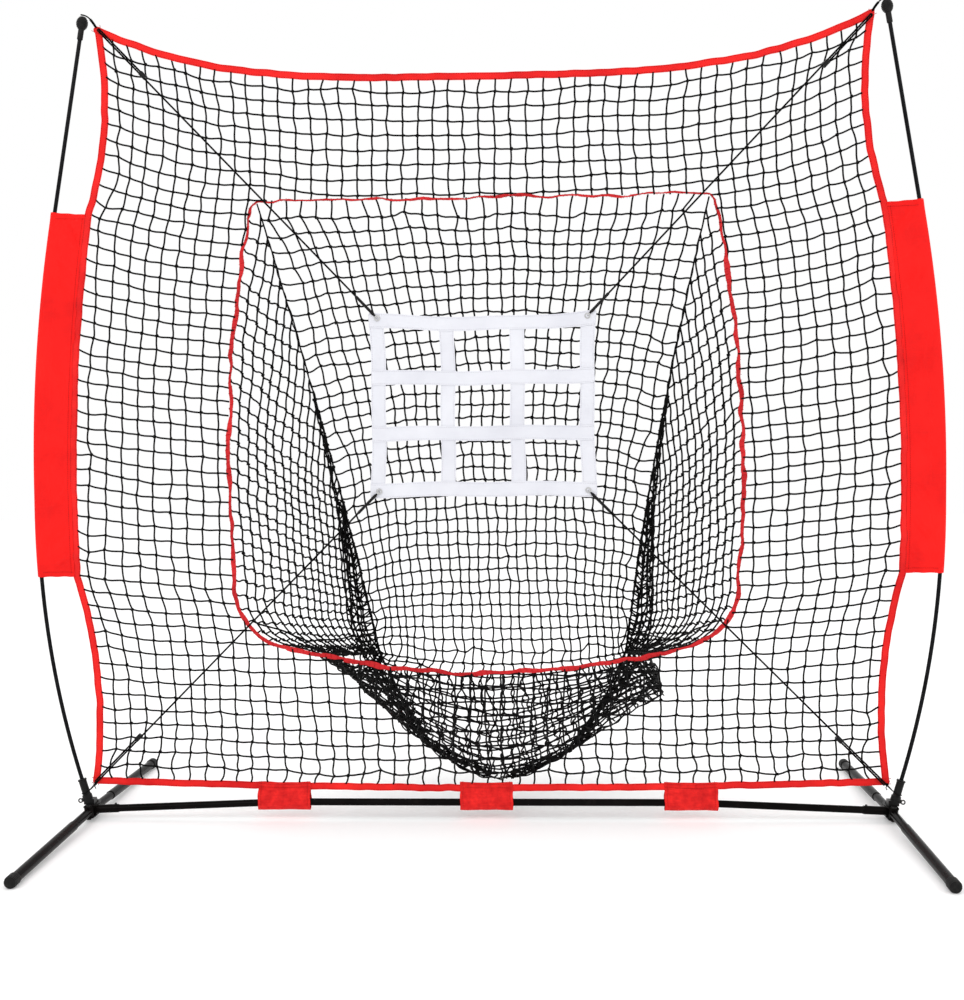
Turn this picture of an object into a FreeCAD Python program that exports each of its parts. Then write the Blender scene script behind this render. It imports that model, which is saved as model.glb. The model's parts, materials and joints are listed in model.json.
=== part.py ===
import FreeCAD, Part
import math
import os
from FreeCAD import Placement, Rotation, Vector

# Bow-frame pitching net: a folding tube base, two bowed poles, a net with a ball pocket behind its
# mouth, and a strap grid that marks the strike zone, hung on four elastic cords.
# Millimetres. X runs across the net, -Y is the pitcher's side, +Z is up, and Z = 0 is the floor.

os.makedirs("parts", exist_ok=True)
doc = FreeCAD.newDocument("pitching_target_net")

SIZES = [
    # base frame
    ("hub_span", 1063, "centre plane to hub centre"),
    ("hub_height", 26, "floor to the axes of crossbar and legs at the hub"),
    ("joint_span", 541, "centre plane to the joint between two crossbar tubes"),
    ("bar_height", 47, "floor to the axis of the centre tube"),
    ("bar_radius", 9.5, "crossbar tube, outside"),
    ("bar_bore", 8, "crossbar tube, inside"),
    ("centre_tube_length", 1081, "centre crossbar tube"),
    ("side_tube_length", 493, "left and right crossbar tubes"),
    ("coupling_radius", 11.3, "coupling over a crossbar joint, outside"),
    ("coupling_bore", 10.1, "coupling over a crossbar joint, inside"),
    ("coupling_length", 100, "coupling over a crossbar joint"),
    ("sleeve_radius", 11.2, "hub sleeve, outside"),
    ("sleeve_bore", 9.55, "hub sleeve, inside"),
    ("sleeve_length", 72, "hub centre to the sleeve's mouth"),
    ("sleeve_floor", 28, "hub centre to the bottom of the sleeve's bore"),
    ("plate_width", 28, "hub plate, across"),
    ("plate_thickness", 3, "hub plate"),
    ("plate_gap", 24.8, "between the two hub plates"),
    ("core_width", 32, "hub core, along X"),
    ("core_depth", 30, "hub core, along Y"),
    ("pivot_offset", 31, "hub centre to a leg's pivot bolt"),
    ("bolt_radius", 4, "pivot bolt shank"),
    ("bolt_hole", 4.06, "running hole in a leg's eye"),
    ("bolt_seat", 4.0, "hole in a hub plate"),
    ("bolt_head_radius", 7, "pivot bolt head"),
    ("bolt_head_height", 3.6, "pivot bolt head"),
    ("nut_radius", 6.6, "pivot nut"),
    ("nut_height", 5, "pivot nut"),
    # legs
    ("leg_drop", 12, "fall of a leg's axis from pivot to cap"),
    ("leg_reach", 605, "centre plane to the outer face of a foot cap"),
    ("eye_radius", 12, "pivot eye of a leg"),
    ("eye_height", 24, "pivot eye of a leg"),
    ("stub_radius", 11, "leg stub, outside"),
    ("stub_bore", 9.5, "leg stub, inside"),
    ("stub_length", 190, "leg stub, from the pivot"),
    ("leg_radius", 12.7, "leg tube, outside"),
    ("leg_bore", 11, "leg tube, inside"),
    ("leg_start", 128, "pivot to the near end of the leg tube"),
    ("leg_length", 441, "leg tube"),
    ("cap_radius", 15, "foot cap, over its ribs"),
    ("cap_length", 36, "foot cap"),
    ("cap_end", 5, "foot cap, thickness of its end"),
    # snap buttons
    ("button_reach", 64, "hub centre to a snap button"),
    ("button_radius", 3.2, "snap button"),
    ("button_hole", 3.28, "hole for a snap button"),
    ("button_flange_radius", 4.6, "snap button's foot inside the tube"),
    ("leaf_width", 6, "leaf spring under a snap button"),
    ("leaf_thickness", 0.8, "leaf spring under a snap button"),
    # pole sockets
    ("pole_lean", 16.5, "lean of the socket, in degrees"),
    ("socket_top_span", 1090, "centre plane to the pole axis at the socket's top"),
    ("socket_top_height", 108, "floor to the socket's top"),
    ("socket_length", 68, "socket along its axis"),
    ("socket_radius", 10.5, "socket's upper barrel"),
    ("socket_collar_radius", 13, "socket's clamp collar"),
    ("socket_collar_length", 26, "socket's clamp collar"),
    ("socket_bore", 5.3, "socket bore"),
    ("pole_seat", 60, "depth of the pole in the socket"),
    ("screw_reach", 13, "socket's bottom to the clamp screw, along the axis"),
    ("screw_radius", 3, "clamp screw shank"),
    ("screw_hole", 3.06, "hole for the clamp screw"),
    ("screw_ring_radius", 5, "clamp screw's ring"),
    ("screw_wire", 1.8, "clamp screw's ring, wire radius"),
    # poles
    ("pole_radius", 5.25, "pole rod"),
    ("pole_span", 1193, "centre plane to the widest part of a pole"),
    ("lower_bend", 2500, "bend radius of a pole's lower part"),
    ("upper_bend", 4200, "bend radius of a pole's upper part"),
    ("upper_bend_start", 897, "height at which the upper bend starts"),
    ("tip_lean", 9.7, "lean of a pole's straight top, in degrees"),
    ("lower_joint_height", 760, "joint of the lower and middle rods"),
    ("upper_joint_height", 1440, "joint of the middle and upper rods"),
    ("tip_height", 2113, "centre of the tip cap's ball"),
    ("ferrule_radius", 6.6, "pole ferrule, outside"),
    ("ferrule_bore", 5.6, "pole ferrule, inside"),
    ("ferrule_length", 70, "pole ferrule"),
    ("ball_radius", 15.5, "tip cap's ball, across"),
    ("ball_half_height", 19, "tip cap's ball, half its height"),
    ("neck_radius", 7.5, "tip cap's neck"),
    ("neck_length", 24, "tip cap's neck below the ball"),
    # net
    ("net_thickness", 2, "netting"),
    ("webbing_width", 19, "border webbing"),
    ("webbing_thickness", 4, "border webbing, folded"),
    ("binding_width", 12, "mouth binding"),
    ("binding_thickness", 5, "mouth binding"),
    ("fabric_sleeve_reach", 9.1, "pole axis to the sleeve's outer fold"),
    ("fabric_sleeve_cavity", 8.0, "pole axis to the sleeve's inside"),
    ("tab_width", 141, "crossbar tab"),
    ("tab_top", 104, "floor to a tab's top edge"),
    ("tab_inside", 13.2, "crossbar axis to a tab's inside"),
    ("tab_thickness", 1.4, "crossbar tab"),
    ("tab_span", 541, "centre plane to the middle of an outer tab"),
    ("pocket_depth", 480, "front net to the back of the pocket"),
    ("pocket_floor", 46, "floor to the lowest point of the pocket"),
    # target
    ("target_width", 594, "strike-zone grid"),
    ("target_bottom", 860, "floor to the grid's lower edge"),
    ("target_height", 485, "strike-zone grid"),
    ("strap_width", 39, "strap of the grid"),
    ("strap_thickness", 2.5, "strap of the grid"),
    ("target_offset", 24, "front net to the grid"),
    ("grommet_span", 274, "centre plane to a grommet"),
    ("grommet_low", 877, "floor to a lower grommet"),
    ("grommet_high", 1330, "floor to an upper grommet"),
    ("grommet_radius", 8, "grommet flange"),
    ("grommet_barrel", 6, "grommet barrel"),
    ("grommet_hole", 4, "grommet, inside"),
    ("hook_wire", 1.2, "hook, wire radius"),
    ("hook_bend", 4.5, "hook, bend radius"),
    ("hook_sleeve_radius", 4, "sleeve that joins hook and cord"),
    ("hook_sleeve_length", 50, "sleeve that joins hook and cord"),
    # cords
    ("cord_radius", 2.4, "elastic cord"),
    ("cord_loop", 3.1, "half the distance between a cord's doubled strands"),
    ("cord_doubled", 175, "doubled stretch of a cord"),
    ("crimp_radius", 6.6, "ferrule of a cord"),
    ("crimp_length", 20, "ferrule of a cord"),
    ("tie_radius", 1.2, "corner tie"),
    ("loop_radius", 1.9, "corner loop"),
]

sheet = doc.addObject("Spreadsheet::Sheet", "Sizes")
for row, (alias, value, meaning) in enumerate(SIZES, 1):
    sheet.set(f"A{row}", meaning)
    sheet.set(f"B{row}", str(value))
    sheet.setAlias(f"B{row}", alias)
doc.recompute()

SIDES = {"left": -1, "right": 1}
ENDS = {"front": -1, "rear": 1}
nodes = []


def size(alias):
    """The number in a named cell."""
    return float(sheet.get(alias))


def node(made, label):
    """Names a finished sub-part and lists it for export."""
    made.Label = label
    nodes.append(made)
    return made


def along(start, direction):
    """A placement at start whose Z axis points along direction."""
    return Placement(start, Rotation(Vector(0, 0, 1), direction))


def cylinder(radius, length, placement):
    """A cylinder whose radius and length are expressions over the sheet."""
    made = doc.addObject("Part::Cylinder", "Cylinder")
    made.setExpression("Radius", radius)
    made.setExpression("Height", length)
    made.Placement = placement
    return made


def box(width, depth, height, centre, bottom):
    """A box centred on a point in plan, with its sizes given as expressions."""
    made = doc.addObject("Part::Box", "Box")
    made.setExpression("Length", width)
    made.setExpression("Width", depth)
    made.setExpression("Height", height)
    doc.recompute()
    corner = Vector(centre[0] - made.Length.Value / 2, centre[1] - made.Width.Value / 2, bottom)
    made.Placement = Placement(corner, Rotation())
    return made


def fuse(shapes):
    made = doc.addObject("Part::MultiFuse", "Fuse")
    made.Shapes = shapes
    return made


def cut(base, tool):
    made = doc.addObject("Part::Cut", "Cut")
    made.Base = base
    made.Tool = tool
    return made


def tube(outer, inner, length, placement):
    """A round tube: an outer cylinder less its bore."""
    made = cut(cylinder(outer, length, Placement()), cylinder(inner, length, Placement()))
    made.Placement = placement
    return made


def group(solids):
    """Separate solids that share one node, such as four equal bolts."""
    made = doc.addObject("Part::Compound", "Group")
    made.Links = solids
    return made


def feature(shape, placement=None):
    """A piece that neither a sketch nor a primitive makes, from a shape and its placement."""
    made = doc.addObject("Part::Feature", "Piece")
    made.Shape = shape
    made.Placement = placement or Placement()
    return made


# ---------------------------------------------------------------------------------------------
# Paths and sheets
# ---------------------------------------------------------------------------------------------


def swept(edges, radius):
    """A solid round rod along edges that meet in tangents."""
    path = Part.Wire(edges)
    start = edges[0].Vertexes[0].Point
    direction = edges[0].tangentAt(edges[0].FirstParameter)
    section = Part.Wire(Part.makeCircle(radius, start, direction))
    return path.makePipeShell([section], True, False)


def line(start, end):
    return Part.LineSegment(start, end).toShape()


def arc(start, middle, end):
    return Part.Arc(start, middle, end).toShape()


def arc_points(start, middle, end, count):
    """Evenly spaced (x, z) points on the circular arc through three points, ends included."""
    curve = Part.Arc(*(Vector(x, 0, z) for x, z in (start, middle, end)))
    first, last = curve.FirstParameter, curve.LastParameter
    points = [curve.value(first + (last - first) * k / (count - 1)) for k in range(count)]
    if (points[0] - Vector(start[0], 0, start[1])).Length > 1e-6:
        points.reverse()
    return [(point.x, point.z) for point in points]


def offset_loop(points, distance):
    """A closed loop of (x, z) points moved to its left by distance, with mitred corners."""
    moved = []
    for before, here, after in zip(points[-1:] + points[:-1], points, points[1:] + points[:1]):
        first = unit((here[0] - before[0], here[1] - before[1]))
        second = unit((after[0] - here[0], after[1] - here[1]))
        bisector = unit((-first[1] - second[1], first[0] + second[0]))
        reach = distance / (bisector[0] * -first[1] + bisector[1] * first[0])
        moved.append((here[0] + bisector[0] * reach, here[1] + bisector[1] * reach))
    return moved


def unit(pair):
    length = math.hypot(*pair)
    return (pair[0] / length, pair[1] / length)


def polyhedron(faces):
    """A solid from flat faces, each a list of points."""
    made = [Part.Face(Part.makePolygon(points + points[:1])) for points in faces]
    solid = Part.makeSolid(Part.makeShell(made))
    if solid.Volume < 0:
        solid.reverse()
    return solid


def triangles(a, b, c, d):
    """The two triangles of a quad, leaving out one that has shrunk to a line."""
    return [three for three in ([a, b, c], [a, c, d]) if area(three) > 1e-6]


def area(three):
    return (three[1] - three[0]).cross(three[2] - three[0]).Length / 2


def cloth(rows, thickness):
    """A thin solid over a grid of points: each row the same length, half the thickness each side."""
    normals = grid_normals(rows)
    sides = []
    for sign in (1, -1):
        sides.append([[point + normal * (sign * thickness / 2) for point, normal in zip(*pair)]
                      for pair in zip(rows, normals)])
    front, back = sides
    faces = []
    for i in range(len(rows) - 1):
        for j in range(len(rows[0]) - 1):
            faces += triangles(front[i][j], front[i][j + 1], front[i + 1][j + 1], front[i + 1][j])
            faces += triangles(back[i][j], back[i + 1][j], back[i + 1][j + 1], back[i][j + 1])
    last_row, last_column = len(rows) - 1, len(rows[0]) - 1
    rim = [(0, j) for j in range(last_column)] + [(i, last_column) for i in range(last_row)]
    rim += [(last_row, j) for j in range(last_column, 0, -1)] + [(i, 0) for i in range(last_row, 0, -1)]
    for (i, j), (m, n) in zip(rim, rim[1:] + rim[:1]):
        faces += triangles(front[i][j], back[i][j], back[m][n], front[m][n])
    return polyhedron(faces)


def grid_normals(rows):
    """A unit normal at each point of a grid, from its neighbours along the row and the column."""
    normals = []
    for i, row in enumerate(rows):
        line_of_normals = []
        for j in range(len(row)):
            across = row[min(j + 1, len(row) - 1)] - row[max(j - 1, 0)]
            down = rows[min(i + 1, len(rows) - 1)][j] - rows[max(i - 1, 0)][j]
            normal = across.cross(down)
            normal.normalize()
            line_of_normals.append(normal)
        normals.append(line_of_normals)
    return normals


def ring_loft(rings):
    """A closed solid through flat rings that all have the same number of points."""
    faces = [rings[0], rings[-1]]
    for low, high in zip(rings, rings[1:]):
        for k in range(len(low)):
            n = (k + 1) % len(low)
            faces += triangles(low[k], low[n], high[n], high[k])
    return polyhedron(faces)


# ---------------------------------------------------------------------------------------------
# Sketch bodies
# ---------------------------------------------------------------------------------------------


def body_sketch(body, role):
    """A sketch on one of the body's own origin planes."""
    sketch = body.newObject("Sketcher::SketchObject", "Sketch")
    plane = next(item for item in body.Origin.OriginFeatures if item.Role == role)
    sketch.AttachmentSupport = [(plane, "")]
    sketch.MapMode = "FlatFace"
    return sketch


def add_loop(sketch, points):
    """A closed loop of straight edges in a sketch."""
    for (x, y), (u, v) in zip(points, points[1:] + points[:1]):
        sketch.addGeometry(Part.LineSegment(Vector(x, y, 0), Vector(u, v, 0)), False)


def padded(role, loops, thickness):
    """A body: loops on an origin plane, padded to both sides by half of a thickness expression."""
    body = doc.addObject("PartDesign::Body", "Body")
    sketch = body_sketch(body, role)
    for loop in loops:
        add_loop(sketch, loop)
    pad = body.newObject("PartDesign::Pad", "Pad")
    pad.Profile = sketch
    pad.Midplane = True
    pad.setExpression("Length", thickness)
    return body


def turned(profile):
    """A body: a closed (radius, height) profile turned about its Z axis."""
    body = doc.addObject("PartDesign::Body", "Body")
    sketch = body_sketch(body, "XZ_Plane")
    add_loop(sketch, profile)
    turn = body.newObject("PartDesign::Revolution", "Revolution")
    turn.Profile = sketch
    turn.ReferenceAxis = (sketch, ["V_Axis"])
    turn.Angle = 360
    return body


# ---------------------------------------------------------------------------------------------
# Crossbar, hubs and snap buttons
# ---------------------------------------------------------------------------------------------

HUB_Z = size("hub_height")
HUB_X = size("hub_span")
BAR_Z = size("bar_height")
JOINT_X = size("joint_span")


def bar_direction(side):
    """From a hub centre along the sloping side tube towards the middle."""
    direction = Vector(-side * (HUB_X - JOINT_X), 0, BAR_Z - HUB_Z)
    direction.normalize()
    return direction


def on_bar(side, reach):
    """The point of the side tube's axis at a distance from the hub centre."""
    return Vector(side * HUB_X, 0, HUB_Z) + bar_direction(side) * reach


def button_hole(side):
    start = on_bar(side, size("button_reach"))
    return cylinder("Sizes.button_hole", "Sizes.sleeve_radius * 2", Placement(start, Rotation()))


def make_crossbar():
    couplings = []
    start = Vector(-size("centre_tube_length") / 2, 0, BAR_Z)
    centre = tube("Sizes.bar_radius", "Sizes.bar_bore", "Sizes.centre_tube_length",
                  along(start, Vector(1, 0, 0)))
    node(centre, "crossbar_centre")
    for name, side in SIDES.items():
        start = on_bar(side, size("sleeve_floor") + 0.6)
        plain = tube("Sizes.bar_radius", "Sizes.bar_bore", "Sizes.side_tube_length",
                     along(start, bar_direction(side)))
        node(cut(plain, button_hole(side)), f"crossbar_{name}")
        middle = Vector(side * JOINT_X, 0, BAR_Z)
        slope = bar_direction(side) + Vector(-side, 0, 0)
        slope.normalize()
        coupling = tube("Sizes.coupling_radius", "Sizes.coupling_bore", "Sizes.coupling_length",
                        along(middle - slope * (size("coupling_length") / 2), slope))
        couplings.append(coupling)
    node(group(couplings), "crossbar_couplings")


def hub_plate(side, bottom):
    """One stadium-shaped plate: a box with a round end over each leg pivot."""
    centre = (side * HUB_X, 0)
    pieces = [box("Sizes.plate_width", "Sizes.pivot_offset * 2", "Sizes.plate_thickness", centre, bottom)]
    for end in ENDS.values():
        at = Vector(side * HUB_X, end * size("pivot_offset"), bottom)
        pieces.append(cylinder("Sizes.plate_width / 2", "Sizes.plate_thickness",
                               Placement(at, Rotation())))
    return pieces


def make_hub(name, side):
    inside = HUB_Z - size("plate_gap") / 2
    low = inside - size("plate_thickness")
    high = HUB_Z + size("plate_gap") / 2
    core = box("Sizes.core_width", "Sizes.core_depth", "Sizes.plate_gap", (side * HUB_X, 0), inside)
    sleeve = cylinder("Sizes.sleeve_radius", "Sizes.sleeve_length",
                      along(on_bar(side, 0), bar_direction(side)))
    solid = fuse([core, sleeve] + hub_plate(side, low) + hub_plate(side, high))
    bore = cylinder("Sizes.sleeve_bore", "Sizes.sleeve_length",
                    along(on_bar(side, size("sleeve_floor")), bar_direction(side)))
    holes = [bore, button_hole(side)]
    for end in ENDS.values():
        at = Vector(side * HUB_X, end * size("pivot_offset"), 0)
        holes.append(cylinder("Sizes.bolt_seat", "Sizes.hub_height * 2", Placement(at, Rotation())))
    node(cut(solid, fuse(holes)), f"hub_{name}")


def make_pivot_bolts():
    """Four bolts with nuts: head on the top plate, nut under the bottom plate."""
    bottom = HUB_Z - size("plate_gap") / 2 - size("plate_thickness")
    top = HUB_Z + size("plate_gap") / 2 + size("plate_thickness")
    bolts = []
    for side in SIDES.values():
        for end in ENDS.values():
            foot = Vector(side * HUB_X, end * size("pivot_offset"), bottom)
            shank = cylinder("Sizes.bolt_radius", "Sizes.plate_gap + 2 * Sizes.plate_thickness",
                             Placement(foot, Rotation()))
            head = cylinder("Sizes.bolt_head_radius", "Sizes.bolt_head_height",
                            Placement(Vector(foot.x, foot.y, top), Rotation()))
            nut = doc.addObject("Part::Prism", "Nut")
            nut.Polygon = 6
            nut.setExpression("Circumradius", "Sizes.nut_radius")
            nut.setExpression("Height", "Sizes.nut_height")
            nut.Placement = Placement(foot - Vector(0, 0, size("nut_height")), Rotation())
            bolts.append(fuse([shank, head, nut]))
    node(group(bolts), "leg_pivot_bolts")


def make_snap_button(name, side):
    """A domed button in the hub sleeve, and the V-shaped leaf spring under it."""
    centre = on_bar(side, size("button_reach"))
    foot = centre + Vector(0, 0, 4.6)
    stem_top = size("sleeve_radius") + 2.2 - 4.6
    button, flange = size("button_radius"), size("button_flange_radius")
    profile = [(0, 0), (flange, 0), (flange, 1.2), (button, 1.6), (button, stem_top)]
    profile += [(button * 0.85, stem_top + 0.9), (button * 0.5, stem_top + 1.5), (0, stem_top + 1.7)]
    made = turned(profile)
    made.Placement = Placement(foot, Rotation())
    node(made, f"snap_button_{name}")
    low, high, half = centre.z - 6.3, foot.z - size("leaf_thickness"), size("leaf_thickness")
    outline = [(17, low), (-14, low), (-2, high + half), (4, high + half), (4, high), (-1.6, high),
               (-12.2, low + half), (17, low + half)]
    leaf = padded("XZ_Plane", [[(side * x, z) for x, z in outline]], "Sizes.leaf_width")
    leaf.Placement = Placement(Vector(centre.x, 0, 0), Rotation())
    node(leaf, f"button_spring_{name}")


# ---------------------------------------------------------------------------------------------
# Legs
# ---------------------------------------------------------------------------------------------


def leg_direction(end):
    run = size("leg_reach") - size("pivot_offset")
    direction = Vector(0, end * run, -size("leg_drop"))
    direction.normalize()
    return direction


def cap_profile():
    """Half section of a ribbed foot cap, closed at its outer end."""
    radius, length, wall = size("cap_radius"), size("cap_length"), size("cap_end")
    profile = [(size("leg_radius"), 0), (radius - 1.2, 0)]
    ribs = 5
    pitch = (length - 6) / ribs
    for k in range(ribs):
        start = 1.5 + k * pitch
        profile += [(radius - 1.2, start), (radius, start + 0.8), (radius, start + pitch - 2.2),
                    (radius - 1.2, start + pitch - 1.4)]
    profile += [(radius - 1.2, length - 2.5), (radius - 3, length), (0, length), (0, length - wall)]
    profile.append((size("leg_radius"), length - wall))
    return profile


def make_leg(side_name, side, end_name, end):
    name = f"{end_name}_{side_name}"
    pivot = Vector(side * HUB_X, end * size("pivot_offset"), HUB_Z)
    direction = leg_direction(end)
    eye = cylinder("Sizes.eye_radius", "Sizes.eye_height",
                   Placement(pivot - Vector(0, 0, size("eye_height") / 2), Rotation()))
    stub = cylinder("Sizes.stub_radius", "Sizes.stub_length", along(pivot, direction))
    bore = cylinder("Sizes.stub_bore", "Sizes.stub_length",
                    along(pivot + direction * (size("eye_radius") + 4), direction))
    foot_of_bolt = Placement(Vector(pivot.x, pivot.y, 0), Rotation())
    hole = cylinder("Sizes.bolt_hole", "Sizes.hub_height * 2", foot_of_bolt)
    node(cut(fuse([eye, stub]), fuse([bore, hole])), f"leg_stub_{name}")
    start = pivot + direction * size("leg_start")
    outer = tube("Sizes.leg_radius", "Sizes.leg_bore", "Sizes.leg_length", along(start, direction))
    node(outer, f"leg_tube_{name}")
    cap_start = size("leg_start") + size("leg_length") + size("cap_end") - size("cap_length")
    round_cap = turned(cap_profile())
    round_cap.Placement = along(pivot + direction * cap_start, direction)
    under = box("Sizes.cap_radius * 4", "Sizes.cap_length * 3", "Sizes.cap_radius",
                (pivot.x, end * (size("leg_reach") - size("cap_length") / 2)), -size("cap_radius"))
    node(cut(round_cap, under), f"foot_cap_{name}")


# ---------------------------------------------------------------------------------------------
# Pole sockets and poles
# ---------------------------------------------------------------------------------------------

LEAN = math.radians(size("pole_lean"))
TIP_LEAN = math.radians(size("tip_lean"))


def lean(side, angle):
    """The unit vector that leans outward from the vertical by an angle."""
    return Vector(side * math.sin(angle), 0, math.cos(angle))


def socket_origin(side):
    top = Vector(side * size("socket_top_span"), 0, size("socket_top_height"))
    return top - lean(side, LEAN) * size("socket_length")


def screw_axis(side):
    """Out of the socket's outer side, square to its axis."""
    return Vector(side * math.cos(LEAN), 0, -math.sin(LEAN))


def make_socket(name, side):
    barrel, collar = size("socket_radius"), size("socket_collar_radius")
    length, step = size("socket_length"), size("socket_collar_length")
    bore, seat = size("socket_bore"), size("socket_length") - size("pole_seat")
    profile = [(0, 0), (collar, 0), (collar, step - 2), (barrel, step), (barrel, length - 5),
               (barrel + 1.4, length - 4), (barrel + 1.4, length - 1), (barrel + 0.4, length),
               (bore, length), (bore, seat), (0, seat)]
    barrel_body = turned(profile)
    origin = socket_origin(side)
    barrel_body.Placement = along(origin, lean(side, LEAN))
    top_plate = HUB_Z + size("plate_gap") / 2 + size("plate_thickness")
    foot = box("Sizes.plate_width", "Sizes.plate_width - 2", "Sizes.plate_thickness * 5",
               (side * (HUB_X + 5), 0), top_plate)
    below = box("Sizes.plate_width * 4", "Sizes.plate_width * 4", "Sizes.hub_height * 2",
                (side * HUB_X, 0), top_plate - size("hub_height") * 2)
    screw_start = origin + lean(side, LEAN) * size("screw_reach")
    hole = cylinder("Sizes.screw_hole", "Sizes.plate_width * 2", along(screw_start, screw_axis(side)))
    pole_bore = cylinder("Sizes.socket_bore", "Sizes.pole_seat + 10",
                         along(origin + lean(side, LEAN) * seat, lean(side, LEAN)))
    node(cut(fuse([barrel_body, foot]), fuse([below, hole, pole_bore])), f"pole_socket_{name}")


def make_clamp_screw(name, side):
    """A screw that ends at the pole, with a finger ring as its head."""
    start = socket_origin(side) + lean(side, LEAN) * size("screw_reach")
    axis = screw_axis(side)
    reach = size("socket_collar_radius") + 3.5
    shank = cylinder("Sizes.screw_radius", "Sizes.socket_collar_radius + 4.5 - Sizes.pole_radius",
                     along(start + axis * (size("pole_radius") + 0.4), axis))
    washer = cylinder("Sizes.screw_radius * 1.9", "Sizes.screw_wire",
                      along(start + axis * (size("socket_collar_radius") + 0.6), axis))
    ring = doc.addObject("Part::Torus", "Ring")
    ring.setExpression("Radius1", "Sizes.screw_ring_radius")
    ring.setExpression("Radius2", "Sizes.screw_wire")
    ring.Placement = along(start + axis * (reach + size("screw_ring_radius")), Vector(0, 1, 0))
    node(fuse([shank, washer, ring]), f"clamp_screw_{name}")


def pole_point(side, height):
    """Where the pole's axis is at a height, and how far it leans outward there, in radians."""
    low, span = size("lower_bend"), size("pole_span")
    low_end = size("socket_top_height") + low * math.sin(LEAN)
    high, high_start = size("upper_bend"), size("upper_bend_start")
    high_end = high_start + high * math.sin(TIP_LEAN)
    if height < low_end:
        angle = min(LEAN, math.asin(min(1, (low_end - height) / low)))
        x = span - low * (1 - math.cos(angle))
        if angle == LEAN:
            x -= (size("socket_top_height") - height) * math.tan(LEAN)
    elif height < high_start:
        angle, x = 0, span
    elif height < high_end:
        angle = -math.asin((height - high_start) / high)
        x = span - high * (1 - math.cos(angle))
    else:
        angle = -TIP_LEAN
        x = span - high * (1 - math.cos(TIP_LEAN)) - (height - high_end) * math.tan(TIP_LEAN)
    return Vector(side * x, 0, height), angle


def pole_arc(side, low, high):
    middle = (low + high) / 2
    return arc(*(pole_point(side, height)[0] for height in (low, middle, high)))


def pole_line(side, low, high):
    return line(pole_point(side, low)[0], pole_point(side, high)[0])


def make_pole(name, side):
    """Three rods: the lower one bends out of the socket, the upper one ends straight in the cap."""
    top = size("socket_top_height")
    low_end = top + size("lower_bend") * math.sin(LEAN)
    high_start = size("upper_bend_start")
    high_end = high_start + size("upper_bend") * math.sin(TIP_LEAN)
    lower, upper = size("lower_joint_height"), size("upper_joint_height")
    foot = top - (size("pole_seat") - 0.5) * math.cos(LEAN)
    tip = size("tip_height") + 6
    runs = {
        "lower": [pole_line(side, foot, top), pole_arc(side, top, lower)],
        "middle": [pole_arc(side, lower, low_end), pole_line(side, low_end, high_start),
                   pole_arc(side, high_start, upper)],
        "upper": [pole_arc(side, upper, high_end), pole_line(side, high_end, tip)],
    }
    for part, edges in runs.items():
        rod = swept(edges, size("pole_radius"))
        length = sum(edge.Length for edge in edges)
        print(f"pole_{part}_{name}: length {length:.0f}, volume over section "
              f"{rod.Volume / (math.pi * size('pole_radius') ** 2):.0f}")
        node(feature(rod), f"pole_{part}_{name}")


def make_ferrules():
    """A short tube over each joint between two pole rods."""
    made = []
    for side in SIDES.values():
        for alias in ("lower_joint_height", "upper_joint_height"):
            point, angle = pole_point(side, size(alias))
            direction = lean(side, angle)
            made.append(tube("Sizes.ferrule_radius", "Sizes.ferrule_bore", "Sizes.ferrule_length",
                             along(point - direction * (size("ferrule_length") / 2), direction)))
    node(group(made), "pole_ferrules")


def tip_cap(side):
    """A ribbed ball on a neck that holds the pole's end."""
    ball, half = size("ball_radius"), size("ball_half_height")
    neck, bottom = size("neck_radius"), -half - size("neck_length")
    profile = [(size("pole_radius"), bottom), (neck - 0.8, bottom), (neck, bottom + 2), (neck, -half + 2.5)]
    bands = 18
    for k in range(1, bands):
        height = -half + 2 * half * k / bands
        radius = ball * math.sqrt(1 - (height / half) ** 2)
        if radius > neck + 0.5 and height < half * 0.9:
            profile.append((radius - (0.9 if k % 2 else 0), height))
        elif height > 0:
            profile.append((radius, height))
    profile += [(0, half), (0, 6.4), (size("pole_radius"), 6.4)]
    made = turned(profile)
    point, angle = pole_point(side, size("tip_height"))
    made.Placement = along(point, lean(side, angle))
    return made


# ---------------------------------------------------------------------------------------------
# Net outlines
# ---------------------------------------------------------------------------------------------

# The right edge of the net, from the bottom corner up: a hollow curve to the sleeve, the sleeve's
# own curve, and a hollow curve to the top corner.
EDGE_LOW = [(1050, 105), (1040, 370), (1091, 654)]
EDGE_SLEEVE = [(1091, 654), (1087, 1160), (1040, 1616)]
EDGE_HIGH = [(1040, 1616), (992, 1860), (1005, 2095)]
EDGE_BOTTOM = [(-1050, 105), (0, 86), (1050, 105)]
TOP_DIP = 1956
SLEEVE_STEPS = 8


def top_edge(x):
    """Height of the top border, a slack strap between the two corners."""
    corner_x, corner_z = EDGE_HIGH[-1]
    return TOP_DIP + (corner_z - TOP_DIP) * abs(x / corner_x) ** 3.5


def border_loop():
    """The border's centre line, anticlockwise from the bottom left corner, and its corners."""
    bottom = arc_points(*EDGE_BOTTOM, 9)
    right = arc_points(*EDGE_LOW, 7)[:-1]
    right += arc_points(*EDGE_SLEEVE, SLEEVE_STEPS + 1)[:-1]
    right += arc_points(*EDGE_HIGH, 7)
    steps = 12
    corner_x = EDGE_HIGH[-1][0]
    top = [(corner_x * (1 - 2 * k / steps), top_edge(corner_x * (1 - 2 * k / steps)))
           for k in range(1, steps)]
    left = [(-x, z) for x, z in reversed(right)]
    loop = bottom[:-1] + right + top + left[:-1]
    corners = [0, len(bottom) - 1, len(bottom) + len(right) - 2, len(bottom) + len(right) + len(top) - 1]
    return loop, corners


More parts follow.
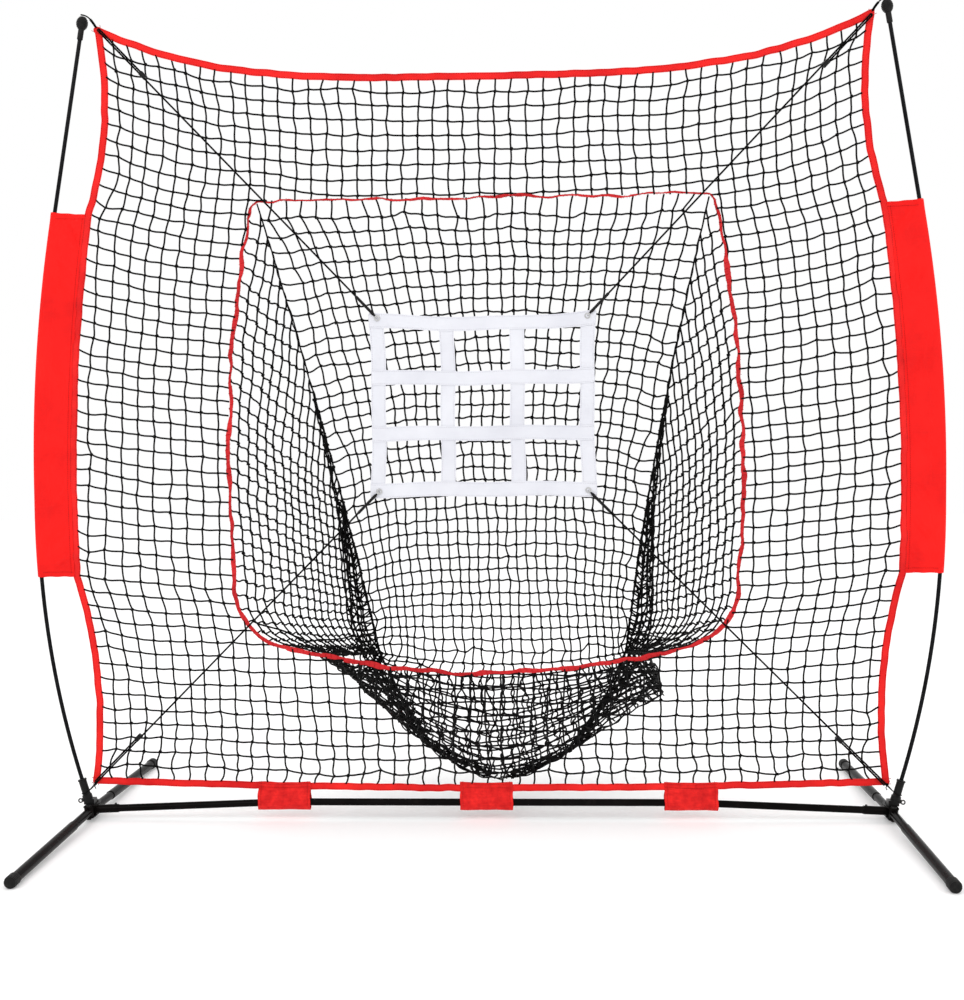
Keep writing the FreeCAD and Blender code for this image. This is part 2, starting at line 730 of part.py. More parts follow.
# Half of the mouth: the straight top, the side, the rounded lower corner and the hanging bottom edge.
MOUTH_TOP = 1643
MOUTH_HALF_TOP = 606
MOUTH_SIDE = [(606, 1630), (673, 1120), (665, 640)]
MOUTH_CORNER = [(665, 640), (625, 515), (530, 462)]
MOUTH_BOTTOM = [(-530, 462), (0, 393), (530, 462)]


def mouth_loop():
    """The mouth's outline, anticlockwise from the lower left end of its bottom edge."""
    bottom = arc_points(*MOUTH_BOTTOM, 9)
    right = arc_points(*MOUTH_CORNER, 5)[::-1] + arc_points(*MOUTH_SIDE, 7)[::-1][1:]
    right.append((MOUTH_HALF_TOP - 16, MOUTH_TOP))
    left = [(-x, z) for x, z in reversed(right)]
    return bottom[:-1] + right + left[:-1]


BORDER, CORNERS = border_loop()
MOUTH = mouth_loop()


def make_front_net():
    inner = offset_loop(BORDER, size("webbing_width") / 2)
    hole = offset_loop(MOUTH, -size("binding_width") / 2)
    node(padded("XZ_Plane", [inner, hole], "Sizes.net_thickness"), "front_net")


def make_border():
    """Four strips of webbing that meet in mitres at the net's corners."""
    outer = offset_loop(BORDER, -size("webbing_width") / 2)
    inner = offset_loop(BORDER, size("webbing_width") / 2)
    ends = CORNERS + [len(BORDER)]
    for name, first, last in zip(("bottom", "right", "top", "left"), ends, ends[1:]):
        span = [k % len(BORDER) for k in range(first, last + 1)]
        loop = [outer[k] for k in span] + [inner[k] for k in reversed(span)]
        node(padded("XZ_Plane", [loop], "Sizes.webbing_thickness"), f"border_{name}")


def make_mouth_binding():
    outer = offset_loop(MOUTH, -size("binding_width") / 2)
    inner = offset_loop(MOUTH, size("binding_width") / 2)
    node(padded("XZ_Plane", [outer, inner], "Sizes.binding_thickness"), "mouth_binding")


# ---------------------------------------------------------------------------------------------
# Fabric sleeves, tabs and the ball pocket
# ---------------------------------------------------------------------------------------------


def sleeve_ring(side, edge, radius, start, half):
    """A teardrop round the pole at one height, drawn out to a flat edge at start."""
    pole, _ = pole_point(1, edge[1])
    points = [(start, -half)] if half == 0 else [(start, -half), (pole.x - 30, -half)]
    for k in range(7):
        angle = math.radians(-90 + 30 * k)
        points.append((pole.x + radius * math.cos(angle), radius * math.sin(angle)))
    if half:
        points += [(pole.x - 30, half), (start, half)]
    return [Vector(side * x, y, edge[1]) for x, y in points]


def make_fabric_sleeve(name, side):
    """Two layers of cloth sewn to the border that run out round the pole."""
    outline = offset_loop(BORDER, -size("webbing_width") / 2)
    first = CORNERS[1] + 6
    edges = outline[first:first + SLEEVE_STEPS + 1]
    outer, inner = [], []
    for edge in edges:
        pole, _ = pole_point(1, edge[1])
        outer.append(sleeve_ring(side, edge, size("fabric_sleeve_reach"), edge[0], 1.5))
        inner.append(sleeve_ring(side, edge, size("fabric_sleeve_cavity"), pole.x - 28, 0))
    node(feature(ring_loft(outer).cut(ring_loft(inner))), f"pole_sleeve_{name}")


def crossbar_tab(centre):
    """A strap of cloth under the crossbar, sewn to both faces of the bottom border."""
    radius = size("tab_inside") + size("tab_thickness") / 2
    flat, shoulder = 3.4, BAR_Z + 27
    path = [(-flat, size("tab_top")), (-flat, shoulder)]
    steps = 10
    for k in range(steps + 1):
        angle = math.radians(155 + 230 * k / steps)
        path.append((radius * math.cos(angle), BAR_Z + radius * math.sin(angle)))
    path += [(flat, shoulder), (flat, size("tab_top"))]
    half = size("tab_thickness") / 2
    outside, inside = offset_path(path, half), offset_path(path, -half)
    made = padded("YZ_Plane", [outside + inside[::-1]], "Sizes.tab_width")
    made.Placement = Placement(Vector(centre, 0, 0), Rotation())
    return made


def offset_path(points, distance):
    """An open path of (x, z) points moved to its left, square at both ends."""
    closed = offset_loop(points, distance)
    for index, (a, b) in ((0, (points[0], points[1])), (-1, (points[-2], points[-1]))):
        direction = unit((b[0] - a[0], b[1] - a[1]))
        end = points[index]
        closed[index] = (end[0] - direction[1] * distance, end[1] + direction[0] * distance)
    return closed


# The pocket is as deep as pocket_depth where its back panel meets the belly.
BACK_TOP_HALF, BACK_LOW_HALF, BACK_LOW_Z = 592, 368, 375
SEAM_HALF, SEAM_SHIFT, SEAM_Y = 471, 30, 270
BELLY_HALF = 0.81
START_Y = 6


def back_point(across, down):
    """The back panel: across runs from -1 to 1, down from 0 at the mouth's top edge to 1."""
    half = BACK_TOP_HALF + (BACK_LOW_HALF - BACK_TOP_HALF) * down * (1.4 - 0.4 * down)
    z = MOUTH_TOP - 6 + (BACK_LOW_Z - MOUTH_TOP + 6) * down
    y = START_Y + (size("pocket_depth") - START_Y) * (0.55 * down + 0.45 * down ** 2)
    return Vector(half * across, y, z)


def seam_point(across):
    """The U-shaped bottom seam, from the left end of the back panel to its right end."""
    rise = 300 * (math.sqrt(0.1225 + (1.15 * across) ** 2) - 0.35)
    y = SEAM_Y + (size("pocket_depth") - SEAM_Y) * rise / (BACK_LOW_Z - size("pocket_floor"))
    return Vector(SEAM_SHIFT + SEAM_HALF * across, y, size("pocket_floor") + rise)


def between(start, end, share):
    return start + (end - start) * share


def make_pocket():
    thickness = size("net_thickness")
    across = [-1 + 0.25 * k for k in range(9)]
    rows = [[back_point(x, down) for x in (-1, 1)] for down in (0, 0.25, 0.5, 0.75, 1)]
    node(feature(cloth(rows, thickness)), "pocket_back")
    belly_back, belly_front = [], []
    for share in (0, 0.33, 0.66, 1):
        belly_back.append([between(back_point(x, 1), seam_point(x), share) for x in across])
        belly_front.append([between(mouth_low(BELLY_HALF * x), seam_point(x), share) for x in across])
    node(feature(cloth(belly_back, thickness)), "pocket_belly_back")
    node(feature(cloth(belly_front, thickness)), "pocket_belly_front")
    side_edge = arc_points(*MOUTH_SIDE, 7) + arc_points(*MOUTH_CORNER, 4)[1:]
    for name, side in SIDES.items():
        near = [Vector(side * x, START_Y, z) for x, z in side_edge] + [mouth_low(side * 0.86)]
        rows = [[point, back_point(side, k / len(side_edge))] for k, point in enumerate(near)]
        rows.append([mouth_low(side * BELLY_HALF), seam_point(side)])
        node(feature(cloth(rows, thickness)), f"pocket_side_{name}")


def mouth_low(across):
    """A point of the mouth's bottom edge, a shallow hanging curve; across runs from -1 to 1."""
    (half, high), low = MOUTH_BOTTOM[2], MOUTH_BOTTOM[1][1]
    return Vector(half * across, START_Y, low + (high - low) * across ** 2)


# ---------------------------------------------------------------------------------------------
# Strike-zone target
# ---------------------------------------------------------------------------------------------

TARGET_Y = -size("target_offset")
GROMMETS = {
    "upper_left": (-1, "grommet_high"),
    "upper_right": (1, "grommet_high"),
    "lower_left": (-1, "grommet_low"),
    "lower_right": (1, "grommet_low"),
}
# Where each cord turns back: at the net's top corners, and at its bottom corners.
CORD_ENDS = {"upper": (1003, -9, 2092), "lower": (1047, -9, 101)}


def rectangle(left, bottom, width, height):
    return [(left, bottom), (left + width, bottom), (left + width, bottom + height), (left, bottom + height)]


def make_target():
    """Straps three squares by three, cut as one sheet."""
    width, height, strap = size("target_width"), size("target_height"), size("strap_width")
    low = size("target_bottom")
    hole_width, hole_height = (width - 4 * strap) / 3, (height - 4 * strap) / 3
    loops = [rectangle(-width / 2, low, width, height)]
    for column in range(3):
        for row in range(3):
            loops.append(rectangle(-width / 2 + strap + column * (hole_width + strap),
                                   low + strap + row * (hole_height + strap), hole_width, hole_height))
    straps = padded("XZ_Plane", loops, "Sizes.strap_thickness")
    straps.Placement = Placement(Vector(0, TARGET_Y, 0), Rotation())
    holes = [cylinder("Sizes.grommet_barrel", "Sizes.target_offset", along(start, Vector(0, 1, 0)))
             for start in (grommet_centre(key) - Vector(0, 12, 0) for key in GROMMETS)]
    node(cut(straps, fuse(holes)), "strike_zone_grid")


def grommet_centre(key):
    side, height = GROMMETS[key]
    return Vector(side * size("grommet_span"), TARGET_Y, size(height))


def make_grommets():
    """An eyelet in each corner of the grid: a barrel with a flange on both faces."""
    flange, barrel, hole = size("grommet_radius"), size("grommet_barrel"), size("grommet_hole")
    half = size("strap_thickness") / 2
    outer = half + 0.9
    profile = [(hole, -outer), (flange, -outer), (flange, -half), (barrel, -half), (barrel, half),
               (flange, half), (flange, outer), (hole, outer)]
    made = []
    for key in GROMMETS:
        ring = turned(profile)
        ring.Placement = along(grommet_centre(key), Vector(0, 1, 0))
        made.append(ring)
    node(group(made), "target_grommets")


def cord_line(key):
    """The start and the end of a cord's axis, and its unit direction away from the target."""
    vertical = key.split("_")[0]
    side = GROMMETS[key][0]
    x, y, z = CORD_ENDS[vertical]
    end = Vector(side * x, y, z)
    hook_y = TARGET_Y - size("hook_bend")
    start = Vector(grommet_centre(key).x, hook_y, grommet_centre(key).z)
    direction = end - start
    direction.normalize()
    return start + direction * (30 + size("hook_sleeve_length")), end, direction


def make_hooks():
    """A J of wire through each grommet, with the sleeve that crimps it to its cord."""
    made = []
    for key in GROMMETS:
        _, _, direction = cord_line(key)
        flat = Vector(direction.x, 0, direction.z)
        flat.normalize()
        centre = grommet_centre(key)
        bend = size("hook_bend")
        out = Vector(0, -1, 0)
        turn_start = centre + flat * bend + out * bend
        turn_end = centre + flat * bend - out * bend
        tip = turn_end + flat * 6
        sleeve_start = centre + flat * 26 + out * bend
        edges = [line(sleeve_start + flat * 4, turn_start), arc(turn_start, centre, turn_end),
                 line(turn_end, tip)]
        wire = swept(edges, size("hook_wire"))
        sleeve = Part.makeCylinder(size("hook_sleeve_radius"), size("hook_sleeve_length"),
                                   sleeve_start, direction)
        made.append(feature(wire.fuse(sleeve)))
    node(group(made), "target_hooks")


def make_cords():
    """Each cord runs from its hook to the net's corner, turns round there and ends in a crimp."""
    crimps = []
    for key in GROMMETS:
        start, end, direction = cord_line(key)
        loop = size("cord_loop")
        across = direction.cross(Vector(0, 1, 0))
        across.normalize()
        turn = end - direction * loop
        back = turn - direction * (size("cord_doubled") - loop) - across * (2 * loop)
        edges = [line(start - direction * 3, turn),
                 arc(turn, end - across * loop, turn - across * (2 * loop)),
                 line(turn - across * (2 * loop), back)]
        cord = swept(edges, size("cord_radius"))
        length = sum(edge.Length for edge in edges)
        print(f"elastic_cord_{key}: length {length:.0f}, volume over section "
              f"{cord.Volume / (math.pi * size('cord_radius') ** 2):.0f}, turn radius {loop}")
        node(feature(cord), f"elastic_cord_{key}")
        crimp = Part.makeCylinder(size("crimp_radius"), size("crimp_length"),
                                  back - direction * 4 + across * loop, direction)
        crimps.append(feature(crimp.cut(cord)))
    node(group(crimps), "cord_crimps")


def make_corner_loops():
    """A loop from over each tip cap to the net's top corner."""
    loops = []
    for side in SIDES.values():
        route = [Vector(side * x, y, z) for x, y, z in
                 ((1049, 0, 2135.5), (1034, -1.5, 2134), (1014, -6, 2112), (1006, -9.5, 2098))]
        loops.append(feature(swept(rounded_route(route, [14, 30]), size("loop_radius"))))
    node(group(loops), "corner_loops")


def make_corner_ties():
    """A ring round each socket's barrel, tied to the net's lower corner by two strands."""
    ties = []
    for name, side in SIDES.items():
        axis = lean(side, LEAN)
        centre = socket_origin(side) + axis * (size("socket_collar_length") + 4)
        ring_radius = size("socket_radius") + size("tie_radius") + 0.2
        ring = Part.makeTorus(ring_radius, size("tie_radius"), centre, axis)
        inward = screw_axis(side) * -1
        _, end, direction = cord_line(f"lower_{name}")
        strands = []
        for share in (-1, 1):
            around = (inward * 0.85 + Vector(0, -0.53, 0)).normalize()
            knot = centre + around * ring_radius + Vector(0, share * 1.5, 0)
            near = end + direction * 4 + Vector(side * 2 * share, 0, 3 * share)
            length = (near - knot).Length
            strands.append(Part.makeCylinder(size("tie_radius"), length, knot, near - knot))
        ties.append(feature(ring.fuse(strands)))
    node(group(ties), "corner_ties")


def rounded_route(points, radii):
    """Straight runs joined by tangent arcs, one radius for each inner point."""
    edges = []
    last = points[0]
    for before, corner, after, radius in zip(points, points[1:], points[2:], radii):
        arriving = (corner - before).normalize()
        leaving = (after - corner).normalize()
        turn = arriving.getAngle(leaving)
        reach = radius * math.tan(turn / 2)
        start, end = corner - arriving * reach, corner + leaving * reach
        inward = (leaving - arriving).normalize()
        middle = corner + inward * (radius / math.cos(turn / 2) - radius)
        edges += [line(last, start), arc(start, middle, end)]
        last = end
    edges.append(line(last, points[-1]))
    return edges


make_crossbar()
for side_name, side in SIDES.items():
    make_hub(side_name, side)
    make_snap_button(side_name, side)
    make_socket(side_name, side)
    make_clamp_screw(side_name, side)
    make_pole(side_name, side)
    make_fabric_sleeve(side_name, side)
    for end_name, end in ENDS.items():
        make_leg(side_name, side, end_name, end)
node(group([tip_cap(side) for side in SIDES.values()]), "tip_caps")
make_pivot_bolts()
make_ferrules()
make_front_net()
make_border()
make_mouth_binding()
node(group([crossbar_tab(place * size("tab_span")) for place in (-1, 0, 1)]), "crossbar_tabs")
make_pocket()
make_target()
make_grommets()
make_hooks()
make_cords()
make_corner_loops()
make_corner_ties()

doc.recompute()
for item in doc.Objects:
    if "Invalid" in item.State or "Error" in item.State:
        raise RuntimeError(f"{item.Name} ({item.Label}) failed: {item.State}")
for item in nodes:
    shape = item.Shape
    if shape.isNull() or not shape.isValid() or shape.Volume <= 0:
        raise RuntimeError(f"{item.Label} has no valid shape: volume {shape.Volume}")
for item in nodes:
    item.Shape.exportStep(f"parts/{item.Label}.step")
print(len(nodes), "nodes")
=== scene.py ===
"""Pitching target net: netting, webbing, cloth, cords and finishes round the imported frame."""
import json
import math

import bpy
import numpy as np
from mathutils import Matrix, Vector


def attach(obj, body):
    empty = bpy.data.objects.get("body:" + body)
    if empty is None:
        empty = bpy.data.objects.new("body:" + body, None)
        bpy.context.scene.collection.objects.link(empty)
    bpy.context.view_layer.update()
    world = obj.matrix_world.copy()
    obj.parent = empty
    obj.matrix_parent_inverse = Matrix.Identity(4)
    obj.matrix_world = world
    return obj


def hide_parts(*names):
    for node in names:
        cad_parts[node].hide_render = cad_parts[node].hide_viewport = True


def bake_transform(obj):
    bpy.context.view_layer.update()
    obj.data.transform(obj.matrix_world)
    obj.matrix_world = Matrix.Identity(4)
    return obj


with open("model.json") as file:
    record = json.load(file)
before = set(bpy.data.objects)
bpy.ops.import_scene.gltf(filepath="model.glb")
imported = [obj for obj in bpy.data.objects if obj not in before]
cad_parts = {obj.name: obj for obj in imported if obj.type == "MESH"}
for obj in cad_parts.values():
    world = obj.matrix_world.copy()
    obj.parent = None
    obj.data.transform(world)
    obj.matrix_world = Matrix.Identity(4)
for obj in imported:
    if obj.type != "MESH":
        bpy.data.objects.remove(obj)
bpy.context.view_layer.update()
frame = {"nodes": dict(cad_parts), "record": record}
RNG = np.random.default_rng(20)

# ------------------------------------------------------------------ camera

CAMERA_PLACE = (0.1613, -3.7817, 1.0224)
CAMERA_TURN = (2.522, -2.577, -0.515)  # degrees to the left, up, and of roll
CAMERA_SENSOR, CAMERA_LENS = 36, 51.75  # mm


def link(name, data):
    """An object with this data, in the scene."""
    made = bpy.data.objects.new(name, data)
    bpy.context.scene.collection.objects.link(made)
    return made


def make_camera():
    """About level with the middle of the net, a little right of centre, turned slightly left and down."""
    yaw, pitch, roll = (math.radians(angle) for angle in CAMERA_TURN)
    forward = Vector((-math.sin(yaw) * math.cos(pitch), math.cos(yaw) * math.cos(pitch), math.sin(pitch)))
    level = Vector((math.cos(yaw), math.sin(yaw), 0))
    up = level.cross(forward)
    right = level * math.cos(roll) + up * math.sin(roll)
    up = up * math.cos(roll) - level * math.sin(roll)
    data = bpy.data.cameras.new("camera")
    data.sensor_fit = "VERTICAL"
    data.sensor_height = CAMERA_SENSOR
    data.lens = CAMERA_LENS
    camera = link("camera", data)
    turn = Matrix((right, up, -forward)).transposed().to_4x4()
    camera.matrix_world = Matrix.Translation(CAMERA_PLACE) @ turn
    bpy.context.scene.camera = camera


make_camera()

# --------------------------------------------------------------- materials


class Tree:
    """A material's nodes, made and joined in one call each."""

    def __init__(self, name):
        self.material = bpy.data.materials.new(name)
        self.material.use_nodes = True
        self.tree = self.material.node_tree
        self.surface = self.tree.nodes["Principled BSDF"]
        self.place = self.node("ShaderNodeTexCoord").outputs["Object"]

    def node(self, kind, inputs=(), **settings):
        made = self.tree.nodes.new(kind)
        for key, value in settings.items():
            setattr(made, key, value)
        for key, value in dict(inputs).items():
            self.set(made.inputs[key], value)
        return made

    def set(self, socket, value):
        if isinstance(value, bpy.types.NodeSocket):
            self.tree.links.new(value, socket)
        else:
            socket.default_value = value

    def noise(self, scale, detail=3, roughness=0.55, stretch=None):
        where = self.place
        if stretch:
            where = self.node("ShaderNodeMapping", {"Vector": where, "Scale": stretch}).outputs[0]
        inputs = {"Vector": where, "Scale": scale, "Detail": detail, "Roughness": roughness}
        return self.node("ShaderNodeTexNoise", inputs).outputs["Fac"]

    def bands(self, direction, scale, distortion=0.0):
        inputs = {"Vector": self.place, "Scale": scale, "Distortion": distortion}
        return self.node("ShaderNodeTexWave", inputs, bands_direction=direction).outputs["Fac"]

    def math(self, operation, a, b=0.0):
        return self.node("ShaderNodeMath", {0: a, 1: b}, operation=operation).outputs[0]

    def spread(self, value, low, high, out_low=0.0, out_high=1.0):
        """value mapped from low..high to out_low..out_high, and held there."""
        inputs = {"Value": value, "From Min": low, "From Max": high, "To Min": out_low, "To Max": out_high}
        return self.node("ShaderNodeMapRange", inputs).outputs["Result"]

    def blend(self, share, a, b):
        made = self.node("ShaderNodeMix", {"Factor": share}, data_type="RGBA")
        for socket, value in zip([s for s in made.inputs if s.type == "RGBA"], (a, b)):
            self.set(socket, value if isinstance(value, bpy.types.NodeSocket) else (*value, 1))
        return next(s for s in made.outputs if s.type == "RGBA")

    def finish(self, **inputs):
        """The material, with the surface's inputs named with _ for each space."""
        for key, value in inputs.items():
            value = (*value, 1) if isinstance(value, tuple) else value
            self.set(self.surface.inputs[key.replace("_", " ")], value)
        return self.material

    def bump(self, height, distance, strength, under=None):
        """A bump normal, on top of the one under it."""
        inputs = {"Height": height, "Distance": distance, "Strength": strength}
        if under:
            inputs["Normal"] = under
        return self.node("ShaderNodeBump", inputs).outputs[0]


def powder_coat():
    """Black powder coat: a fine grain, soft mottling and a little dust."""
    t = Tree("powder_coat_black")
    mottle = t.noise(9, 4)
    grain = t.noise(900, 2)
    dust = t.spread(t.noise(30, 5, 0.7), 0.55, 0.8)
    colour = t.blend(t.spread(mottle, 0.3, 0.7), (0.0020, 0.0016, 0.0015), (0.0052, 0.0041, 0.0039))
    colour = t.blend(t.math("MULTIPLY", dust, 0.22), colour, (0.030, 0.025, 0.022))
    rough = t.math("ADD", t.spread(mottle, 0.3, 0.7, 0.17, 0.27), t.math("MULTIPLY", dust, 0.15))
    normal = t.bump(grain, 0.00025, 0.5)
    return t.finish(Base_Color=colour, Roughness=rough, Normal=normal, Specular_IOR_Level=0.03)


def fibreglass():
    """Black pultruded rod: glossy, with fibres and streaks along it."""
    t = Tree("fibreglass_black")
    streak = t.noise(14, 4, 0.6, stretch=(9, 9, 0.5))
    fibre = t.noise(160, 3, 0.6, stretch=(6, 6, 0.12))
    colour = t.blend(t.spread(streak, 0.35, 0.7), (0.002, 0.0021, 0.0026), (0.006, 0.0062, 0.0074))
    rough = t.spread(streak, 0.3, 0.7, 0.13, 0.27)
    return t.finish(Base_Color=colour, Roughness=rough, Normal=t.bump(fibre, 0.0003, 0.4),
                    Specular_IOR_Level=0.08)


def rubber():
    """Black moulded rubber with scuffs."""
    t = Tree("rubber_black")
    scuff = t.spread(t.noise(60, 5, 0.7), 0.5, 0.8)
    colour = t.blend(scuff, (0.0045, 0.0043, 0.0042), (0.022, 0.021, 0.020))
    return t.finish(Base_Color=colour, Roughness=t.spread(scuff, 0, 1, 0.45, 0.7), Specular_IOR_Level=0.15,
                    Normal=t.bump(t.noise(700, 3), 0.0004, 0.6))


def nylon():
    """Black moulded nylon with a fine grain."""
    t = Tree("nylon_black")
    grain = t.noise(1200, 2)
    tone = t.noise(40, 3)
    return t.finish(Base_Color=t.blend(tone, (0.003, 0.003, 0.0032), (0.008, 0.0078, 0.0077)),
                    Roughness=t.spread(tone, 0.3, 0.7, 0.3, 0.42), Specular_IOR_Level=0.14,
                    Normal=t.bump(grain, 0.0003, 0.5))


def plated(name, dark, bright):
    """Plated steel, uneven in tone between dark and bright."""
    t = Tree(name)
    tone = t.noise(120, 4, 0.7)
    return t.finish(Base_Color=t.blend(tone, dark, bright), Metallic=1.0,
                    Roughness=t.spread(tone, 0.3, 0.7, 0.22, 0.42),
                    Normal=t.bump(t.noise(900, 2), 0.0002, 0.4))


def twine():
    """Knotted polyethylene twine: nearly black, with a dull shine."""
    t = Tree("twine_black")
    tone = t.spread(t.noise(170, 3), 0.35, 0.65)
    return t.finish(Base_Color=t.blend(tone, (0.0010, 0.0010, 0.0012), (0.0045, 0.0042, 0.0041)),
                    Roughness=0.6, Specular_IOR_Level=0.07)


def elastic():
    """Braided elastic cord: fine crossing ribs."""
    t = Tree("elastic_black")
    braid = t.math("MULTIPLY", t.bands("X", 260, 1.0), t.bands("Z", 260, 1.0))
    return t.finish(Base_Color=t.blend(braid, (0.0008, 0.0008, 0.0009), (0.005, 0.0048, 0.0047)),
                    Roughness=0.7, Specular_IOR_Level=0.06, Normal=t.bump(braid, 0.0006, 0.8))


def cloth(name, dark, bright, pitch, rough, sheen, slubs=0.12, patches=7):
    """A plain weave with threads a pitch apart, slightly creased, between a dark and a bright tone.

    slubs is the share of the tone that follows the threads. patches is the scale of its larger patches.
    """
    t = Tree(name)
    scale = 0.31 / pitch  # a wave texture of scale 1 repeats about every 0.31 m
    weave = t.math("ADD", t.bands("X", scale, 0.4), t.bands("Z", scale, 0.4))
    tone = t.spread(t.noise(patches, 5, 0.6), 0.3, 0.7)
    slub = t.spread(t.noise(90, 3, 0.6, stretch=(0.3, 0.3, 3)), 0.35, 0.75)
    share = t.math("ADD", t.math("MULTIPLY", tone, 1 - slubs), t.math("MULTIPLY", slub, slubs))
    colour = t.blend(share, dark, bright)
    normal = t.bump(weave, pitch * 0.35, 0.55)
    normal = t.bump(t.noise(22, 4, 0.6), 0.0018, 0.35, under=normal)
    return t.finish(Base_Color=colour, Roughness=rough, Normal=normal, Specular_IOR_Level=0.14,
                    Sheen_Weight=sheen, Sheen_Roughness=0.4, Sheen_Tint=bright)


SLEEVE_RED = cloth("polyester_red", (0.70, 0.004, 0.004), (0.97, 0.010, 0.007),
                   pitch=0.0007, rough=0.50, sheen=0.10)
TAB_RED = cloth("tab_red", (0.52, 0.004, 0.006), (0.92, 0.022, 0.018),
                pitch=0.0007, rough=0.55, sheen=0.10, slubs=0.25, patches=55)
WEBBING_RED = cloth("webbing_red", (0.60, 0.007, 0.008), (0.95, 0.022, 0.019),
                    pitch=0.0016, rough=0.6, sheen=0.10)
BINDING_RED = cloth("binding_red", (0.36, 0.008, 0.012), (0.74, 0.028, 0.032),
                    pitch=0.0012, rough=0.65, sheen=0.10, slubs=0.35)
# Red thread, much darker than the cloth. The stitches are real, but their darkness is partly painted shade:
# the rows along the sleeves' folded hems also stand for the shade there.
THREAD_RED_PAINTED_SHADE = cloth("thread_red_painted_shade", (0.30, 0.002, 0.003), (0.48, 0.005, 0.006),
                   pitch=0.0005, rough=0.55, sheen=0.05)
STRAP_WHITE = cloth("strap_white", (0.66, 0.665, 0.72), (0.76, 0.765, 0.81),
                    pitch=0.0006, rough=0.5, sheen=0.03)
THREAD_WHITE = cloth("thread_white", (0.52, 0.52, 0.57), (0.62, 0.62, 0.66),
                     pitch=0.0005, rough=0.55, sheen=0.03)
TWINE, ELASTIC, NYLON = twine(), elastic(), nylon()
NICKEL = plated("nickel_plate", (0.38, 0.38, 0.39), (0.66, 0.66, 0.65))
CAD_FINISH = {
    "black_steel": powder_coat(),
    "black_fibreglass": fibreglass(),
    "black_rubber": rubber(),
    "black_plastic": NYLON,
    "bright_steel": plated("zinc_steel", (0.014, 0.014, 0.015), (0.070, 0.069, 0.066)),
    "black_netting": TWINE,
    "red_webbing": WEBBING_RED,
    "red_fabric": SLEEVE_RED,
    "red_binding": BINDING_RED,
    "white_strap": STRAP_WHITE,
    "white_metal": NICKEL,
    "black_elastic": ELASTIC,
}
SHARP_EDGE = math.radians(32)
for row in frame["record"]["subparts"]:
    cad_node = frame["nodes"][row["node"]]
    cad_node.data.materials.clear()
    cad_node.data.materials.append(CAD_FINISH[row["material_slot"]])
    cad_node.data.polygons.foreach_set("use_smooth", [True] * len(cad_node.data.polygons))
    cad_node.modifiers.new("edges", "EDGE_SPLIT").split_angle = SHARP_EDGE

# ---------------------------------------------------------------- geometry

DOWN, AXIS_Y = np.array([0, 0, -1.0]), [0, 1, 0]
SIDES = (("left", -1), ("right", 1))


def add(name, shape, material, body="root", replaces=()):
    """Links a shape, its points and its faces, as a piece on a body. A blended piece has no body here."""
    points, faces = shape
    data = bpy.data.meshes.new(name)
    data.from_pydata(np.asarray(points).reshape(-1, 3).tolist(), [], faces)
    data.polygons.foreach_set("use_smooth", [True] * len(data.polygons))
    data.update()
    data.materials.append(material)
    made = link(name, data)
    if body:
        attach(made, body)
    if replaces:
        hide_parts(*replaces)
    return made


def both_faces(across, rise, half, thick):
    """A strap's profile, the same on both faces, from shares of its half width and half thickness."""
    upper = np.stack([np.array(across) * half, np.array(rise) * thick], -1)
    return np.concatenate([upper, upper[::-1] * (1, -1)])


def subdivide(piece, levels=1):
    smooth = piece.modifiers.new("smooth", "SUBSURF")
    smooth.levels = smooth.render_levels = levels


def thicken(piece, thickness, offset):
    """Gives a sheet its thickness and rounds it."""
    thick = piece.modifiers.new("thickness", "SOLIDIFY")
    thick.thickness = thickness
    thick.offset = offset
    subdivide(piece)


def unit(vectors):
    length = np.linalg.norm(vectors, axis=-1, keepdims=True)
    return vectors / np.maximum(length, 1e-9)


def arc(a, b, c, count):
    """Points along the circle from a through b to c, each (x, z)."""
    (ax, az), (bx, bz), (cx, cz) = a, b, c
    d = 2 * (ax * (bz - cz) + bx * (cz - az) + cx * (az - bz))
    aa, bb, cc = (x * x + z * z for x, z in (a, b, c))
    ux = (aa * (bz - cz) + bb * (cz - az) + cc * (az - bz)) / d
    uz = (aa * (cx - bx) + bb * (ax - cx) + cc * (bx - ax)) / d
    angles = np.unwrap([math.atan2(z - uz, x - ux) for x, z in (a, b, c)])
    radius = math.hypot(ax - ux, az - uz)
    t = np.linspace(angles[0], angles[2], count)
    return np.stack([ux + radius * np.cos(t), uz + radius * np.sin(t)], -1)


def resample(points, count=None, pitch=None):
    """The same line at equal steps."""
    points = np.asarray(points, float)
    reach = np.concatenate([[0], np.cumsum(np.linalg.norm(np.diff(points, axis=0), axis=1))])
    count = count or int(reach[-1] / pitch) + 2
    steps = np.linspace(0, reach[-1], count)
    return np.stack([np.interp(steps, reach, points[:, k]) for k in range(points.shape[1])], -1)


def lift(points, y=0.0):
    """(x, z) points as (x, y, z)."""
    return np.stack([points[..., 0], np.full(points.shape[:-1], y), points[..., 1]], -1)


def wander(count, passes, amount, columns=3):
    """Smooth random offsets, with a spread of amount."""
    noise = RNG.normal(size=(count + 4 * passes, columns))
    for _ in range(2 * passes):
        noise = (noise[1:] + noise[:-1]) / 2
    noise = noise[:count]
    return amount * noise / max(noise.std(), 1e-9)


def quads(rows, columns, ring=False, closed=False):
    """The faces of a grid of points. ring joins each row's two ends, closed the first and the last row."""
    i, j = np.meshgrid(np.arange(rows - (not closed)), np.arange(columns - (not ring)), indexing="ij")
    n, m = (i + 1) % rows, (j + 1) % columns
    return np.stack([i * columns + j, i * columns + m, n * columns + m, n * columns + j], -1).reshape(-1, 4)


